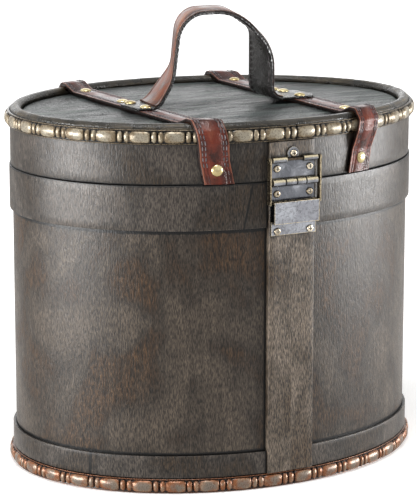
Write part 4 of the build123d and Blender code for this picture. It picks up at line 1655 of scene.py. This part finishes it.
@dataclass
class LidStrap:
    """One stitched strap over the lid, bent over the roll and the moulding at both ends."""

    name: str
    middle: float
    splay: float
    section: Section = field(
        default_factory=lambda: Section(10.0, 1.4, -1.4, (6.0, 8.0), 0.35, 0.5)
    )
    # one end in profile, from the lid's flat to the free end: out from the oval, height
    points: tuple[Point2, ...] = (
        (-30.0, 260.5),
        (-20.0, 260.5),
        (-8.3, 265.0),
        (-1.2, 265.0),
        (4.85, 258.4),
        (4.85, 250.7),
        (0.7, 237.9),
        (0.7, 221.5),
    )
    radii: tuple[float, ...] = (3.0, 3.0, 3.0, 3.0, 3.0, 8.0)
    # degrees that a hanging end leans, and the height that it starts at
    lean: float = 11.0
    lean_from: float = 259.0
    flat_steps: int = 40
    # the flat run between the ends is a little uneven above this height
    flat_height: float = 260.0
    wave: float = 0.12
    wave_length: float = 23.0
    lowest_wave: float = -0.08
    thread_radius: float = 0.42

    def lean_shift(self, height: float) -> float:
        """Give how far a hanging end has leaned towards the middle of the box at a height."""
        drop = max(self.lean_from - height, 0.0)
        return -math.copysign(drop * math.tan(math.radians(self.lean)), self.middle)

    def place(self, side: int, across: float, out: float, height: float) -> Vector:
        """Give a point of the strap near one end.

        Args:
            side: -1 at the hinge side, 1 at the far side.
            across: Distance from the strap's middle line.
            out: Distance out from the oval.
            height: Height of the point.

        Returns:
            The point.
        """
        cos, sin = math.cos(math.radians(self.splay)), math.sin(math.radians(self.splay))
        # parameter angles of the side's left and right ends, halved until they meet
        low, high = side * 3.0, side * 0.14
        across += self.lean_shift(height)
        for _ in range(40):
            angle = (low + high) / 2
            spot = OVAL.at(angle, 0, out, height)
            if (spot.x - self.middle) * cos + spot.y * sin < across:
                low = angle
            else:
                high = angle
        return spot

    def strip(self, section: Sequence[Point2]) -> tuple[list[Row], list[float]]:
        """Give the strap's rows of points for a section.

        Args:
            section: Distance across and above the strap's middle layer for each column.

        Returns:
            Rows of points from the hinge side to the far side, and the run at each row.
        """
        path = rounded_path(self.points, self.radii, 5, 4)
        bends = list(zip(path, path_normals(path)))
        front, back = (
            [
                [
                    self.place(side, across, out + normal.x * up, z + normal.y * up)
                    for across, up in section
                ]
                for (out, z), normal in bends
            ]
            for side in (-1, 1)
        )
        rows = list(reversed(front))
        for step in range(1, self.flat_steps):
            row = []
            for a, b in zip(front[0], back[0]):
                spot = a.lerp(b, step / self.flat_steps)
                if spot.z > self.flat_height:
                    wave = self.wave * soft_noise(spot.y / self.wave_length, self.middle)
                    spot.z += max(wave, self.lowest_wave)
                row.append(spot)
            rows.append(row)
        rows += back
        return rows, running_length([row[0] for row in rows])

    def build(self, leather: bpy.types.Material, thread: bpy.types.Material) -> None:
        """Build and dress the strap and its stitching.

        Args:
            leather: Finish of the strap.
            thread: Finish of the stitches.
        """
        slot = "strap_leather"
        rows, runs = self.strip(self.section.points())
        draft = MeshDraft()
        draft.grid(rows, runs, self.section.skins(), caps=True)
        piece = draft.to_object(f"{self.name}_leather", sharp=50)
        dress(piece, leather, Body.LID, slot, (self.name,))
        sewn = MeshDraft()
        low = self.section.top - self.section.groove_depth
        for across in (*self.section.grooves, *(-groove for groove in self.section.grooves)):
            pairs, _ = self.strip([(across, low), (across, low + 1.0)])
            sewn.stitches(pairs, self.thread_radius)
        dress(sewn.to_object(f"{self.name}_stitching"), thread, Body.LID, slot)


@dataclass
class Rivets:
    """Domed rivet caps on the straps and the handle's tabs."""

    slot: str = "rivet_brass"
    # radius and height of each ring of a cap
    profile: tuple[Point2, ...] = (
        (4.2, 0.0),
        (4.2, 0.35),
        (4.05, 0.6),
        (3.5, 1.08),
        (2.6, 1.52),
        (1.5, 1.8),
        (0.5, 1.9),
    )
    sides: int = 28
    strap_top: float = 261.9
    tab_top: float = 263.8
    wall_inset: float = -2.2
    wall_height: float = 231.3
    # y of the rivets on each strap, and x and y of those on the tabs
    places: tuple[float, ...] = (-84.0, 21.0, 84.0)
    tab_columns: Point2 = (-68.0, 60.5)
    tab_rows: Point2 = (-24.5, -0.5)

    def cap_set(self, name: str, node: str, places: Iterable[tuple[Vector, Vector]],
                brass: bpy.types.Material) -> None:
        """Build and dress the caps at some places.

        Args:
            name: Name of the piece.
            node: Solid that it stands for.
            places: Foot of each cap and the direction that it faces.
            brass: Finish of the caps.
        """
        draft = MeshDraft()
        for spot, outward in places:
            draft.turned(facing(spot, outward), self.profile, self.sides)
        dress(draft.to_object(name), brass, Body.LID, self.slot, (node,))

    def build(self, straps: Sequence[LidStrap], brass: bpy.types.Material) -> None:
        """Build and dress all caps.

        Args:
            straps: The straps that the caps sit on.
            brass: Finish of the caps.
        """
        up = Vector((0, 0, 1))
        on_straps = []
        for strap in straps:
            slope = math.tan(math.radians(strap.splay))
            for y in self.places:
                on_straps.append((Vector((strap.middle - y * slope, y, self.strap_top)), up))
            for side in (-1, 1):
                x = strap.middle - side * OVAL.half_width * slope + strap.lean_shift(self.wall_height)
                angle = side * math.acos(x / (OVAL.half_length - self.wall_inset))
                spot = OVAL.at(angle, self.wall_inset, 0, self.wall_height)
                on_straps.append((spot, OVAL.outward(angle, self.wall_inset)))
        self.cap_set("strap_rivet_caps", "strap_rivets", on_straps, brass)
        on_tabs = [
            (Vector((x, y, self.tab_top)), up) for x in self.tab_columns for y in self.tab_rows
        ]
        self.cap_set("tab_rivet_caps", "tab_rivets", on_tabs, brass)


@dataclass
class StrapHandle:
    """The carrying handle: a lining and a cover in one arch from tab to tab.

    The two edges follow different outlines, because the strap twists as it rises.
    """

    front_y: float = -29.0
    back_y: float = 4.0
    middle_x: float = -3.0
    half_span: float = 40.0
    height: float = 66.0
    root: float = 263.8
    reach_left: float = 76.2
    reach_right: float = 72.5
    cover_left: float = -62.6
    cover_right: float = 46.0
    # radius of the tabs' corners, and where the rows lie in them
    corner: float = 7.0
    corner_steps: tuple[float, ...] = (0.0, 0.3, 1.2, 3.2)
    # corners of each edge's outline: across and up as shares of the half span and the height,
    # and the bend there as a share of the half span
    front: tuple[tuple[float, float, float], ...] = (
        (-1.41, 0.0, 0.2),
        (-1.13, 0.26, 0.6),
        (-0.96, 1.0, 0.55),
        (0.2, 1.0, 1.1),
        (0.96, 0.55, 0.85),
        (0.94, 0.0, 0.22),
    )
    back: tuple[tuple[float, float, float], ...] = (
        (-1.28, 0.0, 0.35),
        (-0.72, 0.39, 0.45),
        (-0.61, 1.0, 0.42),
        (0.32, 1.0, 0.6),
        (0.945, 0.76, 0.3),
        (0.945, 0.0, 0.22),
    )
    lining: Section = field(default_factory=lambda: Section(16.5, 0.0, -1.8, soft=0.4))
    cover: Section = field(default_factory=lambda: Section(16.5, 1.4, 0.0, (13.6,), soft=0.45))
    thread_radius: float = 0.3
    # heights in metres between which the handle bends away from the lid
    bend_from: float = 0.264
    bend_to: float = 0.290

    def outline(self, rows: Sequence[tuple[float, float, float]]) -> list[Point2]:
        """Give one edge's outline as points across and up.

        Args:
            rows: Across, up and bend of each corner, as shares.

        Returns:
            The points from the left tab to the right tab.
        """
        steps = (*self.corner_steps, self.corner)
        points = [(-self.reach_left + step, self.root) for step in steps]
        points += [
            (self.middle_x + x * self.half_span, self.root + z * self.height) for x, z, _ in rows
        ]
        points += [(self.reach_right - step, self.root) for step in reversed(steps)]
        straight = [0.0] * (len(steps) - 1)
        bends = [bend * self.half_span for _, _, bend in rows]
        return rounded_path(points, [*straight, *bends, *straight], 8, 4)

    def narrowed(self, x: float, height: float) -> float:
        """Give the share of the full width at a place, which is less in the tabs' corners.

        Args:
            x: X of the place.
            height: Height of the place.

        Returns:
            The share.
        """
        half = self.cover.half_width
        end = min(x + self.reach_left, self.reach_right - x)
        if end >= self.corner or abs(height - self.root) >= 1:
            return 1.0
        depth = math.sqrt(max(self.corner**2 - (self.corner - end) ** 2, 0.0))
        return (half - self.corner + depth) / half

    def strip(
        self, section: Sequence[Point2], covered: bool = False
    ) -> tuple[list[Row], list[float]]:
        """Give the handle's rows of points for a section.

        Args:
            section: Distance across and above the joint of the two layers for each column.
            covered: Whether the rows stop where the cover stops.

        Returns:
            Rows of points from the left tab to the right tab, and the run at each row.
        """
        front, back = self.outline(self.front), self.outline(self.back)
        deep = self.back_y - self.front_y
        rows = []
        for a, b, a_side, b_side in zip(front, back, path_normals(front), path_normals(back)):
            if covered and not self.cover_left < a[0] < self.cover_right:
                continue
            narrow = self.narrowed(*a)
            row = []
            for across, up in section:
                share = (across * narrow / self.cover.half_width + 1) / 2
                flat = (Vector(a) + a_side * up).lerp(Vector(b) + b_side * up, share)
                row.append(Vector((flat.x, self.front_y + deep * share, flat.y)))
            rows.append(row)
        return rows, running_length([row[0].lerp(row[-1], 0.5) for row in rows])

    def bend(self, piece: bpy.types.Object, finish: bpy.types.Material, slot: str,
             nodes: Iterable[str] = ()) -> None:
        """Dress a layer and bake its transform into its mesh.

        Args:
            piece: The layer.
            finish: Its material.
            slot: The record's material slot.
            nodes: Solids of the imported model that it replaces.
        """
        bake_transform(piece)
        coat(piece, finish, slot, nodes)
        log.info("%s bends from the lid to the handle", piece.name)

    def build(self, cover: bpy.types.Material, lining: bpy.types.Material,
              thread: bpy.types.Material) -> None:
        """Build and dress the layers and their stitching.

        Args:
            cover: Finish of the upper layer.
            lining: Finish of the lower layer.
            thread: Finish of the stitches.
        """
        layers = (
            ("handle_lining_leather", self.lining, lining, "handle_leather",
             ("handle_lining", "handle_tab_left", "handle_tab_right")),
            ("handle_cover_leather", self.cover, cover, "strap_leather", ("handle_cover",)),
        )
        for name, section, finish, slot, nodes in layers:
            rows, runs = self.strip(section.points(), section is self.cover)
            draft = MeshDraft()
            draft.grid(rows, runs, section.skins(), caps=True)
            self.bend(draft.to_object(name, sharp=50), finish, slot, nodes)
        sewn = MeshDraft()
        (groove,) = self.cover.grooves
        top, bottom = self.cover.top - self.cover.groove_depth, self.lining.bottom
        for across in (-groove, groove):
            for low, high in ((top, top + 1.0), (bottom, bottom - 1.0)):
                pairs, _ = self.strip([(across, low), (across, high)], True)
                sewn.stitches(pairs, self.thread_radius)
        self.bend(sewn.to_object("handle_stitching"), thread, "handle_leather")


@dataclass
class Hardware:
    """The support hinge with its stay, and the hook latch on the far side."""

    plate_soft: float = 0.16
    screw_soft: float = 0.1

    def build(self, plate: bpy.types.Material, pocket: bpy.types.Material,
              stay: bpy.types.Material, screw: bpy.types.Material) -> None:
        """Dress the metal pieces.

        Args:
            plate: Finish of the leaves and the latch.
            pocket: Finish of the pocket plate.
            stay: Finish of the stay and the pins.
            screw: Finish of the screws.
        """
        slot = "antique_bronze"
        plates = ("lower_leaf", "upper_leaf", "latch_plate", "latch_keeper")
        redress(plates, plate, slot, self.plate_soft)
        redress(("stay_pocket",), pocket, slot, self.plate_soft)
        redress(("latch_hook", "stay_frame"), stay, slot, self.plate_soft)
        redress(("barrel_pin", "stay_pin", "latch_pivot"), stay, slot, self.screw_soft)
        screws = ("hinge_screws_body", "hinge_screws_lid", "latch_screws_body", "latch_screws_lid")
        redress(screws, screw, "screw_brass", self.screw_soft)


@dataclass(frozen=True)
class SoftBox:
    """One soft lamp of the studio."""

    name: str
    place: tuple[float, float, float]
    target: tuple[float, float, float]
    size: tuple[float, float]
    power: float
    colour: str = "#ffffff"

    def build(self) -> None:
        """Place the lamp in the scene."""
        lamp = bpy.data.lights.new(self.name, "AREA")
        lamp.shape = "RECTANGLE"
        lamp.size, lamp.size_y = self.size
        lamp.energy = self.power
        lamp.color = linear(self.colour)[:3]
        made = bpy.data.objects.new(self.name, lamp)
        bpy.context.scene.collection.objects.link(made)
        made.location = self.place
        away = Vector(self.place) - Vector(self.target)
        made.rotation_euler = away.to_track_quat("Z", "Y").to_euler()
        log.info("lamp %s", self.name)


@dataclass
class Studio:
    """Pale floor, white surroundings, soft lamps and the camera at the photograph's angle."""

    eye: tuple[float, float, float] = (-0.8304, -1.50407, 0.51179)
    azimuth: float = -28.9
    elevation: float = 11.95
    focal_px: float = 2349.0
    frame_px: tuple[int, int] = (417, 500)
    centre_px: float = 212.1
    sensor: float = 36.0
    # half the floor's width in metres, and how far the floor lies under the foot
    floor_half: float = 4.0
    floor_drop: float = 0.2
    world_light: float = 0.24
    lamps: tuple[SoftBox, ...] = (
        SoftBox("left", (-1.3, 0.0, 0.19), (0, 0, 0.12), (1.0, 0.36), 25.0),
        SoftBox("right", (1.15, -0.63, 0.19), (0, 0, 0.12), (0.85, 0.36), 24.0),
        SoftBox("above", (-0.4, -0.5, 1.9), (0, 0, 0.1), (0.7, 0.7), 20.0),
        SoftBox("back", (0.55, 1.6, 0.62), (0, 0, 0.2), (1.2, 0.5), 3.0),
    )

    def floor(self) -> None:
        """Build the floor, which turns white to the camera and keeps the shadow."""
        half = self.floor_half / MM
        draft = MeshDraft()
        steps = [half * (k / 4 - 1) for k in range(9)]
        draft.grid([[Vector((x, y, -self.floor_drop)) for y in steps] for x in steps], steps, steps,
                   loop_cols=False)
        made = draft.to_object("studio_floor")
        made.data.materials.append(FLOOR.build())

    def surroundings(self) -> None:
        """Make the world white to the camera and to reflections, and dimmer as a light."""
        world = bpy.data.worlds.new("white_surroundings")
        bpy.context.scene.world = world
        world.use_nodes = True
        world.node_tree.nodes.clear()
        graph = Graph(world.node_tree)
        rays = [
            graph.add("LightPath", {}, out=f"Is {kind} Ray")
            for kind in ("Camera", "Glossy", "Transmission")
        ]
        seen = graph.add("Math", {0: rays[0], 1: rays[1]}, operation="MAXIMUM")
        seen = graph.add("Math", {0: seen, 1: rays[2]}, operation="MAXIMUM")
        strength = graph.add("MapRange", {0: seen, 3: self.world_light, 4: 1.0})
        light = graph.add("Background", {"Color": linear("#ffffff"), "Strength": strength})
        graph.add("OutputWorld", {"Surface": light})

    def camera(self) -> None:
        """Place the camera where the photograph was taken from."""
        made = bpy.data.objects.new("camera", bpy.data.cameras.new("camera"))
        bpy.context.scene.collection.objects.link(made)
        made.data.sensor_width = self.sensor
        made.data.lens = self.focal_px / max(self.frame_px) * self.sensor
        made.data.clip_end = 20.0
        made.location = self.eye
        aside = math.atan((self.centre_px - self.frame_px[0] / 2) / self.focal_px)
        made.rotation_euler = (
            math.radians(90 - self.elevation),
            0.0,
            math.radians(self.azimuth) + aside,
        )
        bpy.context.scene.camera = made

    def build(self) -> None:
        """Build the whole studio."""
        self.floor()
        self.surroundings()
        for lamp in self.lamps:
            lamp.build()
        self.camera()
        bpy.context.scene.view_settings.view_transform = "Standard"


def main() -> None:
    """Build every sub-assembly in order."""
    logging.basicConfig(level=logging.INFO, format="%(name)s: %(message)s")
    wood, band, batten, board = (f.build() for f in (WOOD, BAND_WOOD, BATTEN_WOOD, BOARD_WOOD))
    thread = THREAD.build()
    middle, base = MIDDLE_WOOD.build(), BASE_WOOD.build()
    BodyShell().build(wood, middle, base, batten, board, RUST_TRIM.build())
    Lid().build(band, batten, board, GOLD_TRIM.build(), LID_LEATHER.build(), ROLL_LEATHER.build())
    straps = (
        LidStrap("strap_left", -63.7, -0.6),
        LidStrap("strap_right", 64.4, -1.2),
    )
    leather = STRAP_LEATHER.build()
    for strap in straps:
        strap.build(leather, thread)
    Rivets().build(straps, RIVET_METAL.build())
    StrapHandle().build(COVER_LEATHER.build(), LINING_LEATHER.build(), thread)
    Hardware().build(
        HINGE_METAL.build(), POCKET_METAL.build(), STAY_METAL.build(), SCREW_METAL.build()
    )
    Studio().build()


if __name__ == "__main__":
    main()
